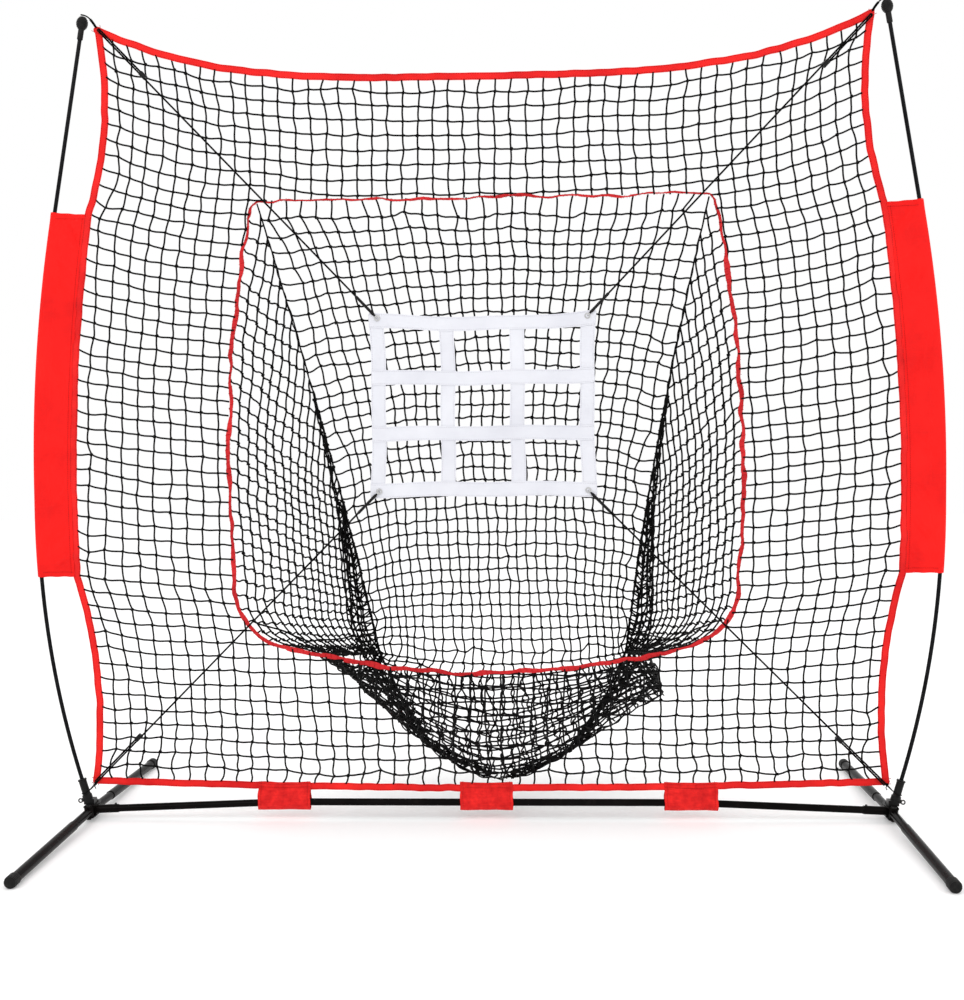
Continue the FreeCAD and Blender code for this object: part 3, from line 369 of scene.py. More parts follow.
def ring_mesh(lines, sides, radius):
    """Closed tubes along many lines of equal point count: (n, k, 3), radius a number or (n, k)."""
    lines = np.asarray(lines, float)
    n, k, _ = lines.shape
    along = unit(np.gradient(lines, axis=1))
    start = unit(np.cross(along, np.array([0.31, 0.91, 0.27])))
    other = np.cross(along, start)
    turn = np.linspace(0, 2 * np.pi, sides, endpoint=False)
    radius = np.broadcast_to(np.asarray(radius, float), (n, k))[..., None, None]
    spokes = np.cos(turn)[:, None] * start[:, :, None] + np.sin(turn)[:, None] * other[:, :, None]
    points = lines[:, :, None] + radius * spokes
    base = np.arange(n)[:, None, None] * (k * sides)
    faces = (quads(k, sides, ring=True) + base).reshape(-1, 4).tolist()
    ends = np.array([np.arange(sides)[::-1], (k - 1) * sides + np.arange(sides)])
    faces += (ends + base).reshape(-1, sides).tolist()
    return points.reshape(-1, 3), faces


def tube(points, radius, sides=10):
    return ring_mesh(np.asarray(points, float)[None], sides, radius)


def join(parts):
    """Several (points, faces) as one."""
    points, faces, base = [], [], 0
    for some_points, some_faces in parts:
        points.append(np.asarray(some_points).reshape(-1, 3))
        faces += [[v + base for v in face] for face in some_faces]
        base += len(points[-1])
    return np.concatenate(points), faces


def strip(centre, across, profile):
    """A band along a line, with ends. profile is a closed loop of (across, normal) offsets."""
    along = unit(np.gradient(centre, axis=0))
    across = unit(across - along * (across * along).sum(-1, keepdims=True))
    normal = np.cross(along, across)
    points = centre[:, None] + profile[:, :1] * across[:, None] + profile[:, 1:] * normal[:, None]
    k, sides = points.shape[:2]
    ends = [list(range(sides))[::-1], [(k - 1) * sides + j for j in range(sides)]]
    return points.reshape(-1, 3), quads(k, sides, ring=True).tolist() + ends


def stitches(line, face, off=0.0, pitch=0.005, radius=0.0005):
    """A row of arched stitches along a line, set off towards the front (face -1) or the back (face 1)."""
    share, rise = 0.62, 0.0004
    spots = resample(line + np.array([0, face * off, 0]), pitch=pitch)
    along = unit(np.gradient(spots, axis=0))
    t = np.linspace(-0.5, 0.5, 4)[:, None]
    arch = rise * (1 - (2 * t) ** 2) * np.array([0, face, 0])
    return ring_mesh(spots[:, None] + t * pitch * share * along[:, None] + arch, 5, radius)


# --------------------------------------------------- target and its cords

TARGET_Y = -0.024
TARGET_WIDE, TARGET_LOW, TARGET_TALL, STRAP_HALF = 0.594, 0.860, 0.485, 0.0195
HOOKS = {"upper_left": (-0.274, 1.330), "upper_right": (0.274, 1.330),
         "lower_left": (-0.274, 0.877), "lower_right": (0.274, 0.877)}
HOOK_BEND, HOOK_WIRE, HOOK_SHANK = 0.0045, 0.0012, 0.034
HOOK_SLEEVE, HOOK_SLEEVE_START, HOOK_SLEEVE_LENGTH = 0.0039, 0.008, 0.076
CORNERS = {"upper": (1.003, -0.009, 2.092), "lower": (1.047, -0.009, 0.101)}
CORD_RADIUS, CORD_START = 0.0024, 0.080
CORD_LANE = 0.0026  # half the distance between the two strands where a cord is doubled
CORD_STEADY, CORD_DOUBLED = 0.030, 0.1719  # straight beside the turn, and the length that comes back


def smooth_line(points):
    """Points along the NURBS spline that a route's control points give."""
    data = bpy.data.curves.new("route", "CURVE")
    data.dimensions = "3D"
    data.resolution_u = 10
    spline = data.splines.new("NURBS")
    spline.points.add(len(points) - 1)
    for point, place in zip(spline.points, points):
        point.co = (*place, 1)
    spline.use_endpoint_u = True
    spline.order_u = 3
    route = link("route", data)
    bpy.context.view_layer.update()
    read = bpy.data.meshes.new_from_object(route)
    line = np.array([v.co for v in read.vertices])
    bpy.data.objects.remove(route)
    bpy.data.curves.remove(data)
    bpy.data.meshes.remove(read)
    return line


def make_cord(key):
    """An elastic cord from its hook to the net's corner, turned back on itself, and its hook and sleeve."""
    vertical, horizontal = key.split("_")
    side = dict(SIDES)[horizontal]
    x, z = HOOKS[key]
    corner = np.array(CORNERS[vertical]) * (side, 1, 1)
    hook = np.array([x, TARGET_Y - HOOK_BEND, z])
    direction = unit(corner - hook)
    across = unit(np.cross(direction, AXIS_Y))
    start = hook + direction * CORD_START
    turn = corner - direction * CORD_LANE
    back = turn - across * 2 * CORD_LANE
    route = [start, turn - direction * CORD_STEADY, turn, turn + direction * CORD_LANE,
             back + direction * CORD_LANE, back, back - direction * CORD_STEADY,
             back - direction * CORD_DOUBLED]
    line = smooth_line(route)
    cord = add(f"elastic_cord_{key}_braid", tube(line, CORD_RADIUS, 12), ELASTIC, body=None)
    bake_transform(cord)
    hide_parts(f"elastic_cord_{key}")
    flat = unit(direction * (1, 0, 1))
    out = np.array([0, -1, 0])
    centre = np.array([x, TARGET_Y, z])
    t = np.linspace(0, np.pi, 15)[:, None]
    bow = centre + flat * HOOK_BEND + HOOK_BEND * (out * np.cos(t) - flat * np.sin(t))
    shank = centre + flat * HOOK_SHANK + out * HOOK_BEND
    tip = bow[-1] + flat * np.array([[0.003], [0.006]])
    wire = np.concatenate([np.linspace(shank, bow[0], 8)[:-1], bow, tip])
    s = np.linspace(0, 1, 40)
    sleeve = centre + out * HOOK_BEND + direction * (HOOK_SLEEVE_START + HOOK_SLEEVE_LENGTH * s[:, None])
    ribbed = HOOK_SLEEVE + 0.0005 * np.sin(s * 90) * (s > 0.15) * (s < 0.85)
    ribbed *= np.clip(np.minimum(s, 1 - s) * 14, 0.55, 1)
    return tube(wire, HOOK_WIRE), tube(sleeve, ribbed, 14)


def make_cords():
    wires, sleeves = zip(*[make_cord(key) for key in HOOKS])
    add("target_hook_wires", join(wires), NICKEL, "target", ["target_hooks"])
    add("target_hook_sleeves", join(sleeves), NYLON, "target")


def settle(points):
    """The pull of the four corner cords on the flat target: its edges draw in and its faces ripple."""
    x, z = points[..., 0], points[..., 2]
    up = (z - TARGET_LOW) / TARGET_TALL
    between = 1 - np.clip(np.abs(x) / (TARGET_WIDE / 2), 0, 1) ** 2
    moved = points.copy()
    moved[..., 0] = x * (1 - 0.020 * (1 - (2 * up - 1) ** 2))
    moved[..., 2] = z - between * (0.013 * up ** 2 - 0.003 * (1 - up))
    moved[..., 2] += 0.0016 * np.sin(x * 23 + z * 5)
    moved[..., 0] += 0.0014 * np.sin(z * 27 + x * 4 + 1)
    moved[..., 1] += 0.0035 * np.sin(x * 11 + 0.7) * np.sin(z * 13 + 1.1) + 0.0016 * np.sin(x * 47 + z * 31)
    moved[..., 1] += 0.0008 * np.sin(x * 130 - z * 60) * np.sin(z * 19)
    return moved


def make_target():
    """Four straps each way, hemmed, crossed and sewn."""
    wide, low, tall, half = TARGET_WIDE, TARGET_LOW, TARGET_TALL, STRAP_HALF
    hem_across = (-1, -0.95, -0.86, -0.78, -0.4, 0, 0.4, 0.78, 0.86, 0.95, 1.0)
    hem_rise = (0.8, 1.15, 1.2, 0.7, 0.62, 0.6, 0.62, 0.7, 1.2, 1.15, 0.8)
    profile = both_faces(hem_across, hem_rise, half, 0.00062)
    parts, threads = [], []
    for k in range(4):
        z = low + half + k * (tall - 2 * half) / 3
        x = -wide / 2 + half + k * (wide - 2 * half) / 3
        level = np.array([(s, TARGET_Y - 0.0009, z) for s in np.linspace(-wide / 2, wide / 2, 100)])
        heights = np.linspace(low + 0.001, low + tall - 0.001, 84)
        plumb = np.array([(x, TARGET_Y + 0.0007, s) for s in heights])
        for line, side in ((level, (0, 0, 1.0)), (plumb, (1.0, 0, 0))):
            side = np.array(side)
            points, faces = strip(line, np.broadcast_to(side, line.shape), profile)
            parts.append((settle(points), faces))
            for offset in (-0.0158, 0.0158):
                for face in (-1, 1):
                    row = settle(line + side * offset + np.array([0, face * 0.0005, 0]))
                    threads.append(stitches(row[1:-1], face, pitch=0.006, radius=0.0004))
    piece = add("target_straps", join(parts), STRAP_WHITE, "target", ["strike_zone_grid"])
    subdivide(piece)
    thread = add("target_thread", join(threads), THREAD_WHITE, "target")


def add_tied(name, route, radius, fasten, replaces):
    """A short cord between the net's corner and the frame, added with the piece that fastens it."""
    line = smooth_line(route)
    cord = add(f"{name}_cord", tube(line, radius), ELASTIC, replaces=replaces)
    fastening = add(f"{name}_fastening", fasten(line), ELASTIC)


def whipping(line):
    """Turns of thread round the last part of a loop."""
    turns, reach, radius = 11, 0.0027, 0.0008
    line = resample(line, 60)[30:56]
    t = np.linspace(0, 1, 150)
    spine = np.stack([np.interp(t, np.linspace(0, 1, len(line)), line[:, k]) for k in range(3)], -1)
    angle = t[:, None] * 2 * np.pi * turns
    along = unit(np.gradient(spine, axis=0))
    across = unit(np.cross(along, AXIS_Y))
    helix = spine + reach * (np.cos(angle) * across + np.sin(angle) * np.cross(along, across))
    return tube(helix, radius, 6)


def tie_knot(line):
    """A trefoil knot where a tie's two ends meet, with a short tail."""
    t = np.linspace(0, 2 * np.pi, 60)
    place = (line[0] + line[-1]) / 2
    knot = np.stack([np.sin(t) + 2 * np.sin(2 * t), -np.sin(3 * t), np.cos(t) - 2 * np.cos(2 * t)], -1)
    tail = place + np.array([(0, -0.001, -0.002), (-0.002, -0.002, -0.008), (0.001, -0.002, -0.014)])
    return join([tube(knot * 0.0013 + place, 0.0013, 8), tube(tail, TIE_RADIUS, 8)])


LOOP_ROUTE = ((1.049, 0, 2.1355), (1.034, -0.0015, 2.134), (1.014, -0.006, 2.112), (1.006, -0.0095, 2.098))
LOOP_RADIUS, TIE_RADIUS = 0.0019, 0.0012
SOCKET_LEAN, SOCKET_X, SOCKET_TOP = math.radians(16.5), 1.090, 0.108
TIE_BELOW_TOP, TIE_RING = 0.038, 0.0137
TIE_X, TIE_Y, TIE_Z = 1.0498, -0.009, 0.0982


def make_ties():
    """The loops over the tip caps and the ties round the sockets, at the net's four corners."""
    for name, side in SIDES:
        route = np.array(LOOP_ROUTE) * (side, 1, 1)
        add_tied(f"corner_loop_{name}", route, LOOP_RADIUS, whipping, ["corner_loops"])
        axis = np.array([side * math.sin(SOCKET_LEAN), 0, math.cos(SOCKET_LEAN)])
        centre = np.array([side * SOCKET_X, 0, SOCKET_TOP]) - axis * TIE_BELOW_TOP
        toward = np.array([-side * math.cos(SOCKET_LEAN), 0, math.sin(SOCKET_LEAN)])
        beside = np.array([0, -1.0, 0])
        knot = np.array([side * TIE_X, TIE_Y, TIE_Z])
        turns = np.radians([55, 115, 180, 245, 305])[:, None]
        ring = centre + TIE_RING * (np.cos(turns) * toward + np.sin(turns) * beside)
        route = np.concatenate([[knot + (0, -0.0015, 0.002)], ring, [knot + (0, 0.0015, -0.002)]])
        add_tied(f"corner_tie_{name}", route, TIE_RADIUS, tie_knot, ["corner_ties"])


make_cords()
make_ties()
make_target()

# ----------------------------------------------------- outlines of the net

EDGE_BOTTOM = arc((-1.050, 0.105), (0, 0.086), (1.050, 0.105), 90)
EDGE_RIGHT = np.concatenate([
    arc((1.050, 0.105), (1.040, 0.370), (1.091, 0.654), 40)[:-1],
    arc((1.091, 0.654), (1.087, 1.160), (1.040, 1.616), 60)[:-1],
    arc((1.040, 1.616), (0.992, 1.860), (1.005, 2.095), 40),
])
EDGE_LEFT = EDGE_RIGHT * (-1, 1)
TOP_X = np.linspace(-1.005, 1.005, 160)
EDGE_TOP = np.stack([TOP_X, 1.956 + 0.139 * np.abs(TOP_X / 1.005) ** 3.5], -1)
MOUTH_RIGHT = np.concatenate([
    arc((0.606, 1.630), (0.673, 1.120), (0.665, 0.640), 50)[:-1],
    arc((0.665, 0.640), (0.625, 0.515), (0.530, 0.462), 24),
])
MOUTH_LOW = arc((-0.530, 0.462), (0, 0.393), (0.530, 0.462), 60)
MOUTH_HIGH = np.array([(-0.590, 1.643), (0.590, 1.643)])
MOUTH = np.concatenate([MOUTH_LOW[:-1], MOUTH_RIGHT[::-1], MOUTH_HIGH[::-1], MOUTH_RIGHT[:-1] * (-1, 1)])
MOUTH_TOP = 1.637
BINDING_Y, BINDING_Z = 0.002, 1.6440  # where the pocket's first row meets the mouth's binding
JUNCTION_SAG = 0.035
NET_START = 0.006
BACK_TOP_HALF, BACK_LOW_HALF, BACK_LOW_Z, POCKET_DEPTH = 0.592, 0.368, 0.375, 0.480
SEAM_HALF, SEAM_SHIFT, SEAM_Y, SEAM_Z = 0.471, 0.030, 0.270, 0.046
MOUTH_LOW_HALF, MOUTH_LOW_Z, MOUTH_LOW_RISE = 0.530, 0.393, 0.069
BELLY_HALF = 0.81  # the belly's share of the mouth's lower edge


def outside_mouth(points):
    """Which points the mouth's outline doesn't hold."""
    x, z = points[..., 0], points[..., 2]
    held = np.zeros(x.shape, bool)
    for (ax, az), (bx, bz) in zip(MOUTH, np.roll(MOUTH, -1, axis=0)):
        if az != bz:
            held ^= ((az > z) != (bz > z)) & (x < (bx - ax) * (z - az) / (bz - az) + ax)
    return ~held


def back_point(across, down):
    """The pocket's back panel, from the mouth's top edge down to the belly, where it hangs to one side."""
    half = BACK_TOP_HALF + (BACK_LOW_HALF - BACK_TOP_HALF) * down * (1.4 - 0.4 * down)
    z = MOUTH_TOP + (BACK_LOW_Z - MOUTH_TOP) * down
    y = NET_START + (POCKET_DEPTH - NET_START) * (0.55 * down + 0.45 * down ** 2)
    return np.stack(np.broadcast_arrays(half * across + SEAM_SHIFT * down, y, z), -1)


def junction(across):
    """Where the back panel meets the belly: a hanging row."""
    return back_point(across, np.ones_like(across)) + DOWN * JUNCTION_SAG * (1 - across ** 2)[..., None]


def seam_point(across):
    """The U-shaped seam under the pocket."""
    rise = 0.3 * (np.sqrt(0.1225 + (1.15 * across) ** 2) - 0.35)
    y = SEAM_Y + (POCKET_DEPTH - SEAM_Y) * rise / (BACK_LOW_Z - SEAM_Z)
    x = SEAM_SHIFT + SEAM_HALF * across + 0.04 * np.maximum(-across, 0) ** 3
    z = SEAM_Z + rise - 0.045 * np.maximum(across, 0) ** 3
    return np.stack(np.broadcast_arrays(x, y, z), -1)


def mouth_low(across):
    """The mouth's hanging bottom edge."""
    z = MOUTH_LOW_Z + MOUTH_LOW_RISE * across ** 2
    return np.stack(np.broadcast_arrays(MOUTH_LOW_HALF * across, NET_START, z), -1)


# ----------------------------------------------------------------- netting

TWINE_RADIUS, TWINE_SIDES = 0.0025, 5
LINES_IN_A_PIECE, KNOTS_IN_A_PIECE = 3200, 1500
STEPS_IN_A_TWINE, STEPS_IN_A_SLACK_TWINE = 6, 9


def slack_lines(a, b, share, bend, even=(0.3, 1.0), count=STEPS_IN_A_TWINE):
    """Twines between two rows of knots, longer than the gap by a share, bowed towards bend or in an S."""
    depth = np.linalg.norm(b - a, axis=-1) * np.sqrt(0.375 * share)
    s = np.linspace(0, 1, count)
    along = unit(b - a)
    bend = unit(bend - along * (bend * along).sum(-1, keepdims=True))
    even = RNG.uniform(*even, len(a))[:, None]
    bow = even * np.sin(np.pi * s) + (1 - even) * 0.5 * np.sin(2 * np.pi * s)
    return a[:, None] + s[:, None] * (b - a)[:, None] + (bow * depth[:, None])[..., None] * bend[:, None]


def knot_shape():
    """A closed figure of eight of twine round the crossing."""
    t = np.linspace(0, 2 * np.pi, 10, endpoint=False)
    loop = np.stack([0.0023 * np.cos(t), 0.0012 * np.sin(t + 0.6), 0.0021 * np.sin(2 * t)], -1)
    points, faces = tube(np.concatenate([loop, loop[:1]]), TWINE_RADIUS * 0.9, TWINE_SIDES)
    count = len(t) * TWINE_SIDES
    return points[:count], np.array(faces[:count]) % count


def make_netting(name, lines, knots, replaces):
    """Twines and knots as pieces small enough to keep every face. The first piece replaces CAD nodes."""
    made = []
    knots = np.concatenate(knots)
    for count in sorted({some.shape[1] for some in lines}):
        alike = np.concatenate([some for some in lines if some.shape[1] == count])
        for first in range(0, len(alike), LINES_IN_A_PIECE):
            shape = ring_mesh(alike[first:first + LINES_IN_A_PIECE], TWINE_SIDES, TWINE_RADIUS)
            made.append(add(f"{name}_twine_{len(made)}", shape, TWINE,
                            replaces=() if made else replaces))
    shape, shape_faces = knot_shape()
    for first in range(0, len(knots), KNOTS_IN_A_PIECE):
        spots = knots[first:first + KNOTS_IN_A_PIECE]
        angle = RNG.uniform(0, 2 * np.pi, len(spots))
        size = RNG.uniform(0.85, 1.2, len(spots))
        c, s = np.cos(angle) * size, np.sin(angle) * size
        x = shape[:, 0] * c[:, None] + shape[:, 2] * s[:, None]
        z = shape[:, 2] * c[:, None] - shape[:, 0] * s[:, None]
        y = shape[:, 1] * size[:, None]
        points = np.stack([x, y, z], -1) + spots[:, None]
        faces = (shape_faces + np.arange(len(spots))[:, None, None] * len(shape)).reshape(-1, 4).tolist()
        made.append(add(f"{name}_knots_{len(made)}", (points, faces), TWINE))


def lattice(points, slack, keep=None, pinned_rows=(), pinned_columns=(), jog=0.0013, even=(0.3, 1.0),
            wave=(0.4, 0.7)):
    """The twines and knots of a grid of points: (rows, columns, 3).

    slack is the spare length of the twines down the columns and along the rows. keep says which knots exist,
    and pinned rows and columns lie in a seam, with no knots or twines of their own. jog is how far a knot
    sets its twines aside. even and wave say how far those twines bow to one side; the rest of their bend
    is an S.
    """
    keep = np.ones(points.shape[:2], bool) if keep is None else keep
    lines = []
    for axis in (0, 1):
        if axis:
            a, b = points[:, :-1], points[:, 1:]
            both = keep[:, :-1] & keep[:, 1:]
            both[list(pinned_rows)] = False
            push = np.array([0, 0, jog])
        else:
            a, b = points[:-1], points[1:]
            both = keep[:-1] & keep[1:]
            both[:, list(pinned_columns)] = False
            push = np.array([jog, 0, 0])
        parity = np.where(np.indices(both.shape).sum(0)[both] % 2, 1.0, -0.4)[:, None]
        a, b = a[both] + push * parity, b[both] - push * parity
        share = slack[axis]((a + b) / 2) if callable(slack[axis]) else slack[axis]
        if axis:
            bend = DOWN + RNG.normal(size=a.shape) * 0.3
            lines.append(slack_lines(a, b, share, bend, wave))
        else:
            bend = np.cross(b - a, AXIS_Y) * RNG.choice([-1, 1], len(a), p=[0.35, 0.65])[:, None]
            bend = unit(bend) + RNG.normal(size=a.shape) * 0.4
            count = STEPS_IN_A_TWINE if np.max(share) < 0.1 else STEPS_IN_A_SLACK_TWINE
            lines.append(slack_lines(a, b, share, bend, even, count))
    used = keep.copy()
    used[list(pinned_rows)] = False
    used[:, list(pinned_columns)] = False
    return lines, points[used]


def jitter(points, amount, passes):
    """Moves the inner points of a grid by smooth random offsets."""
    noise = RNG.normal(size=points.shape)
    for _ in range(passes):
        noise[1:-1, 1:-1] = (noise[1:-1, 1:-1] * 2 + noise[:-2, 1:-1] + noise[2:, 1:-1] + noise[1:-1, :-2]
                             + noise[1:-1, 2:]) / 6
    noise /= noise[1:-1, 1:-1].std()
    noise[[0, -1]] = 0
    noise[:, [0, -1]] = 0
    return points + noise * amount


def mouth_edge(kept, lost, steps=14):
    """Where each line from a kept knot to a lost one enters the mouth, found by halving."""
    low, high = np.zeros(len(kept)), np.ones(len(kept))
    for _ in range(steps):
        middle = (low + high) / 2
        out = outside_mouth(kept + (lost - kept) * middle[:, None])
        low, high = np.where(out, middle, low), np.where(out, high, middle)
    return kept + (lost - kept) * high[:, None]


def cut_lines(points, keep):
    """Twines from the kept knots of a grid to the edge of the mouth, where the others fell."""
    lines = []
    for a, b, ka, kb in ((points[:, :-1], points[:, 1:], keep[:, :-1], keep[:, 1:]),
                         (points[:-1], points[1:], keep[:-1], keep[1:])):
        for near, far, chosen in ((a, b, ka & ~kb), (b, a, kb & ~ka)):
            start = near[chosen]
            stop = mouth_edge(start, far[chosen])
            lines.append(slack_lines(start, stop, 0.01, RNG.normal(size=start.shape)))
    return lines


def make_front_net():
    """One square-mesh panel, hung from its border on all sides, with the mouth cut out."""
    columns = rows = 50
    into_border = 0.0078
    u, v = np.linspace(0, 1, columns + 1)[None, :, None], np.linspace(0, 1, rows + 1)[:, None, None]
    bottom, top = resample(EDGE_BOTTOM, columns + 1)[None], resample(EDGE_TOP, columns + 1)[None]
    left, right = resample(EDGE_LEFT, rows + 1)[:, None], resample(EDGE_RIGHT, rows + 1)[:, None]
    corners = ((1 - u) * (1 - v) * bottom[:, :1] + u * (1 - v) * bottom[:, -1:]
               + (1 - u) * v * top[:, :1] + u * v * top[:, -1:])
    flat = (1 - v) * bottom + v * top + (1 - u) * left + u * right - corners
    points = lift(flat)
    points = jitter(jitter(points, (0.0013, 0.0012, 0.0013), 0), (0.0032, 0.001, 0.0028), 8)
    for edge, inner in ((points[0], points[1]), (points[-1], points[-2]), (points[:, 0], points[:, 1]),
                        (points[:, -1], points[:, -2])):
        edge += unit(inner - edge) * into_border
    keep = outside_mouth(points)

    def low_slack(middle):
        """The twines' spare length, which grows below 0.30 m."""
        return 0.005 + 0.05 * np.clip((0.30 - middle[:, 2]) / 0.25, 0, 1)

    lines, knots = lattice(points, (low_slack, 0.010), keep, (0, rows), (0, columns))
    make_netting("front_net", lines + cut_lines(points, keep), [knots], ["front_net"])


def gather(q, share):
    """Crowds a -1 to 1 row of columns towards both ends."""
    return (1 + share) * q - share * q * np.abs(q) ** 4


def make_pocket_back():
    """The tongue of netting that hangs from the mouth's top edge and leans back to the belly.

    Its columns crowd towards the seams low down, its rows droop along the seams, and its middle bows back.
    """
    columns, rows = 30, 36
    q = np.linspace(-1, 1, columns + 1)[None]
    down = np.linspace(0, 1, rows + 1)[:, None]
    across = gather(q, 0.45 * down ** 2.5 - 0.25 * down)
    droop = 0.044 * np.minimum(1, 4 * down) * np.minimum(1, 5 * (1 - down))
    points = back_point(across, down + droop * np.abs(across) ** 2.6)
    points[..., 1] += 0.035 * np.sin(np.pi * down) * (1 - across ** 2)
    points[..., 2] -= JUNCTION_SAG * down ** 3 * (1 - across ** 2)
    points = jitter(jitter(points, 0.0014, 0), (0.004, 0.004, 0.003), 8)
    points[0, :, 1:] = BINDING_Y, BINDING_Z
    return lattice(points, (0.005, 0.032), pinned_rows=(0, rows), pinned_columns=(0, columns),
                   wave=(0.25, 0.55))


def make_pocket_side(side):
    """A gusset: its columns follow the mouth's side, its rows run back and down to the seam."""
    rows, columns, pitch = 35, 25, 0.034
    late, spare, crowd, last_knot = 0.21, 1.2, 0.32, 0.95
    near_line = np.concatenate([MOUTH_RIGHT, [[0.500, 0.4544], [0.440, 0.4405]]])
    near = lift(resample(near_line, rows + 1), NET_START) * (side, 1, 1)
    tau = np.linspace(0, 1, rows + 1)
    later = np.minimum(1, tau + late * np.minimum(1, 2.5 * tau) * (1 - tau ** 4))
    far = back_point(np.full(rows + 1, float(side)), later)
    width = np.linalg.norm(far - near, axis=1) * spare
    points = np.zeros((rows + 1, columns + 1, 3))
    keep = np.zeros((rows + 1, columns + 1), bool)
    for k in range(rows + 1):
        s = np.clip(np.arange(columns + 1) * pitch / max(width[k], 1e-6), 0, 1.4)
        points[k] = near[k] + (far[k] - near[k]) * ((1 + crowd) * s - crowd * s * s)[:, None]
        middle = 4 * np.clip(s, 0, 1) * (1 - np.clip(s, 0, 1))
        points[k, :, 2] -= width[k] * middle * 0.04 * (1 - tau[k])
        points[k, :, 0] += side * 0.02 * width[k] * middle * (1 - tau[k])
        keep[k] = s < last_knot
    points = jitter(points, (0.0017, 0.002, 0.002), 1)
    lines, knots = lattice(points, (0.006, 0.14), keep, pinned_columns=(0,), wave=(0.0, 0.25))
    ends = []
    for k in range(1, rows + 1):
        ends.append((points[k, keep[k]][-1], far[k]))
    for k in range(rows):
        for j in range(1, columns + 1):
            if keep[k + 1, j] and not keep[k, j]:
                share = np.clip((j * pitch - width[k]) / max(width[k + 1] - width[k], 1e-6), 0, 1)
                ends.append((points[k + 1, j], far[k] + (far[k + 1] - far[k]) * share))
    a, b = np.array(ends).transpose(1, 0, 2)
    lines.append(slack_lines(a, b, 0.02, DOWN + RNG.normal(size=a.shape) * 0.3))
    return lines, knots


def make_belly(front):
    """The pocket's bottom: a front wall from the mouth's lower edge and a back wall, down to one U seam."""
    columns, rows, crowd, bow = (35, 11, 0.15, -0.03) if front else (30, 10, 0.20, 0.02)
    across = gather(np.linspace(-1, 1, columns + 1), crowd)[None]
    share = np.linspace(0, 1, rows + 1)[:, None, None]
    low = seam_point(across)
    high = mouth_low(BELLY_HALF * across) if front else junction(across)
    points = high + (low - high) * share
    bulge = (4 * share * (1 - share))[..., 0] * (1 - across ** 2)
    points[..., 1] += bow * bulge
    points[..., 2] -= 0.02 * bulge
    points = jitter(jitter(points, (0.0020, 0.002, 0.0008), 0), (0.005, 0.004, 0.0022), 4)
    return lattice(points, (0.075, 0.003), pinned_rows=(0, rows) if front else (rows,), jog=0.0024,
                   even=(0.0, 0.6))


def make_belly_side(side):
    """The small three-cornered panel between a gusset and the belly."""
    top = np.linspace(mouth_low(side * (BELLY_HALF + 0.02)), back_point(float(side), 1.0), 7)[None]
    share = np.linspace(0, 0.9, 5)[:, None, None]
    points = jitter(top + (seam_point(float(side)) - top) * share, 0.003, 1)
    return lattice(points, (0.02, 0.02))


def gathered(line, outward, widths, strands, pitch=0.034):
    """Netting bunched into a band along a line: strands close together, joined by steep zigzags.

    widths are the shares of the line's length and the band's width at each.
    """
    steps = resample(line, pitch=pitch / 2)
    width = np.interp(np.linspace(0, 1, len(steps)), *widths)
    across = np.linspace(0, 1, strands)
    grid = steps[:, None] + np.array(outward) * (width[:, None] * across)[..., None]
    count = (len(steps) - 1) // 2
    points = np.stack([grid[j % 2:j % 2 + 2 * count:2, j] for j in range(strands)], 1)
    return lattice(jitter(points, (0.0022, 0.005, 0.003), 1), (0.006, 0.012), jog=0.001)


def make_seams():
    """Strong twines along the pocket's seams, in bands of netting that the seams gather."""
    bunch_widths = ((0, 0.15, 0.35, 0.52, 0.62, 0.7, 1), (0.004, 0.012, 0.024, 0.044, 0.062, 0.052, 0.010))
    inner_widths = ((0, 0.4, 1), (0.015, 0.060, 0.012))
    low_widths = ((0, 0.5, 1), (0.008, 0.022, 0.036))
    parts, bands = [], []
    for side in (-1, 1):
        back = back_point(np.full(60, float(side)), np.linspace(0, 1, 60))
        bend = back[-1] * 0.45 + seam_point(side * 0.52) * 0.55
        fold = resample(np.array([back[-1], bend, seam_point(side * 0.42)]), 30)
        low = seam_point(side * np.linspace(1, 0, 50))
        bunch = np.concatenate([back[24:], fold[1:]])
        bands.append(gathered(bunch, (side, -0.3, 0), bunch_widths, 3))
        bands.append(gathered(bunch[14:] + (0, -0.01, 0.012), (side, -0.3, -0.1), inner_widths, 4))
        bands.append(gathered(low[15 + 7 * side:], (-side * 0.2, 0.2, 0.9), low_widths, 3))
        bands.append(gathered(low[26:], (-side * 0.2, -0.2, 0.9), ((0, 1), (0.006, 0.026)), 3))
        for line, spread in ((back, 0.0012), (fold, 0.006), (low, 0.003)):
            line = resample(line, pitch=0.008)
            for _ in range(2):
                path = line + wander(len(line), 3, spread) * np.minimum(1, np.arange(len(line)) / 20)[:, None]
                parts.append(tube(path, 0.0022, 6))
        edge = resample(np.array([mouth_low(side * 0.82), seam_point(float(side))]), 30)
        parts.append(tube(edge + wander(30, 3, 0.003), 0.0019, 6))
        strand = resample(np.array([(side * 0.625, 0.02, 0.53), (side * 0.50, 0.18, 0.455), back[-4]]), 40)
        parts.append(tube(strand + wander(40, 4, 0.002), 0.0024, 6))
    add("pocket_seam", join(parts), TWINE)
    return bands


def make_pocket():
    """The ball pocket behind the mouth, all its panels as one netting."""
    panels = [make_pocket_back(), make_belly(front=True), make_belly(front=False)] + make_seams()
    for side in (-1, 1):
        panels += [make_pocket_side(side), make_belly_side(side)]
    lines = [line for some_lines, _ in panels for line in some_lines]
    make_netting("pocket", lines, [knots for _, knots in panels],
                 ["pocket_back", "pocket_belly_front", "pocket_belly_back", "pocket_side_left",
                  "pocket_side_right"])


make_front_net()
make_pocket()

# ------------------------------------------------------- webbing and cloth

WEBBING_HALF, WEBBING_THICK, WEBBING_SEAM = 0.0095, 0.0021, 0.0070
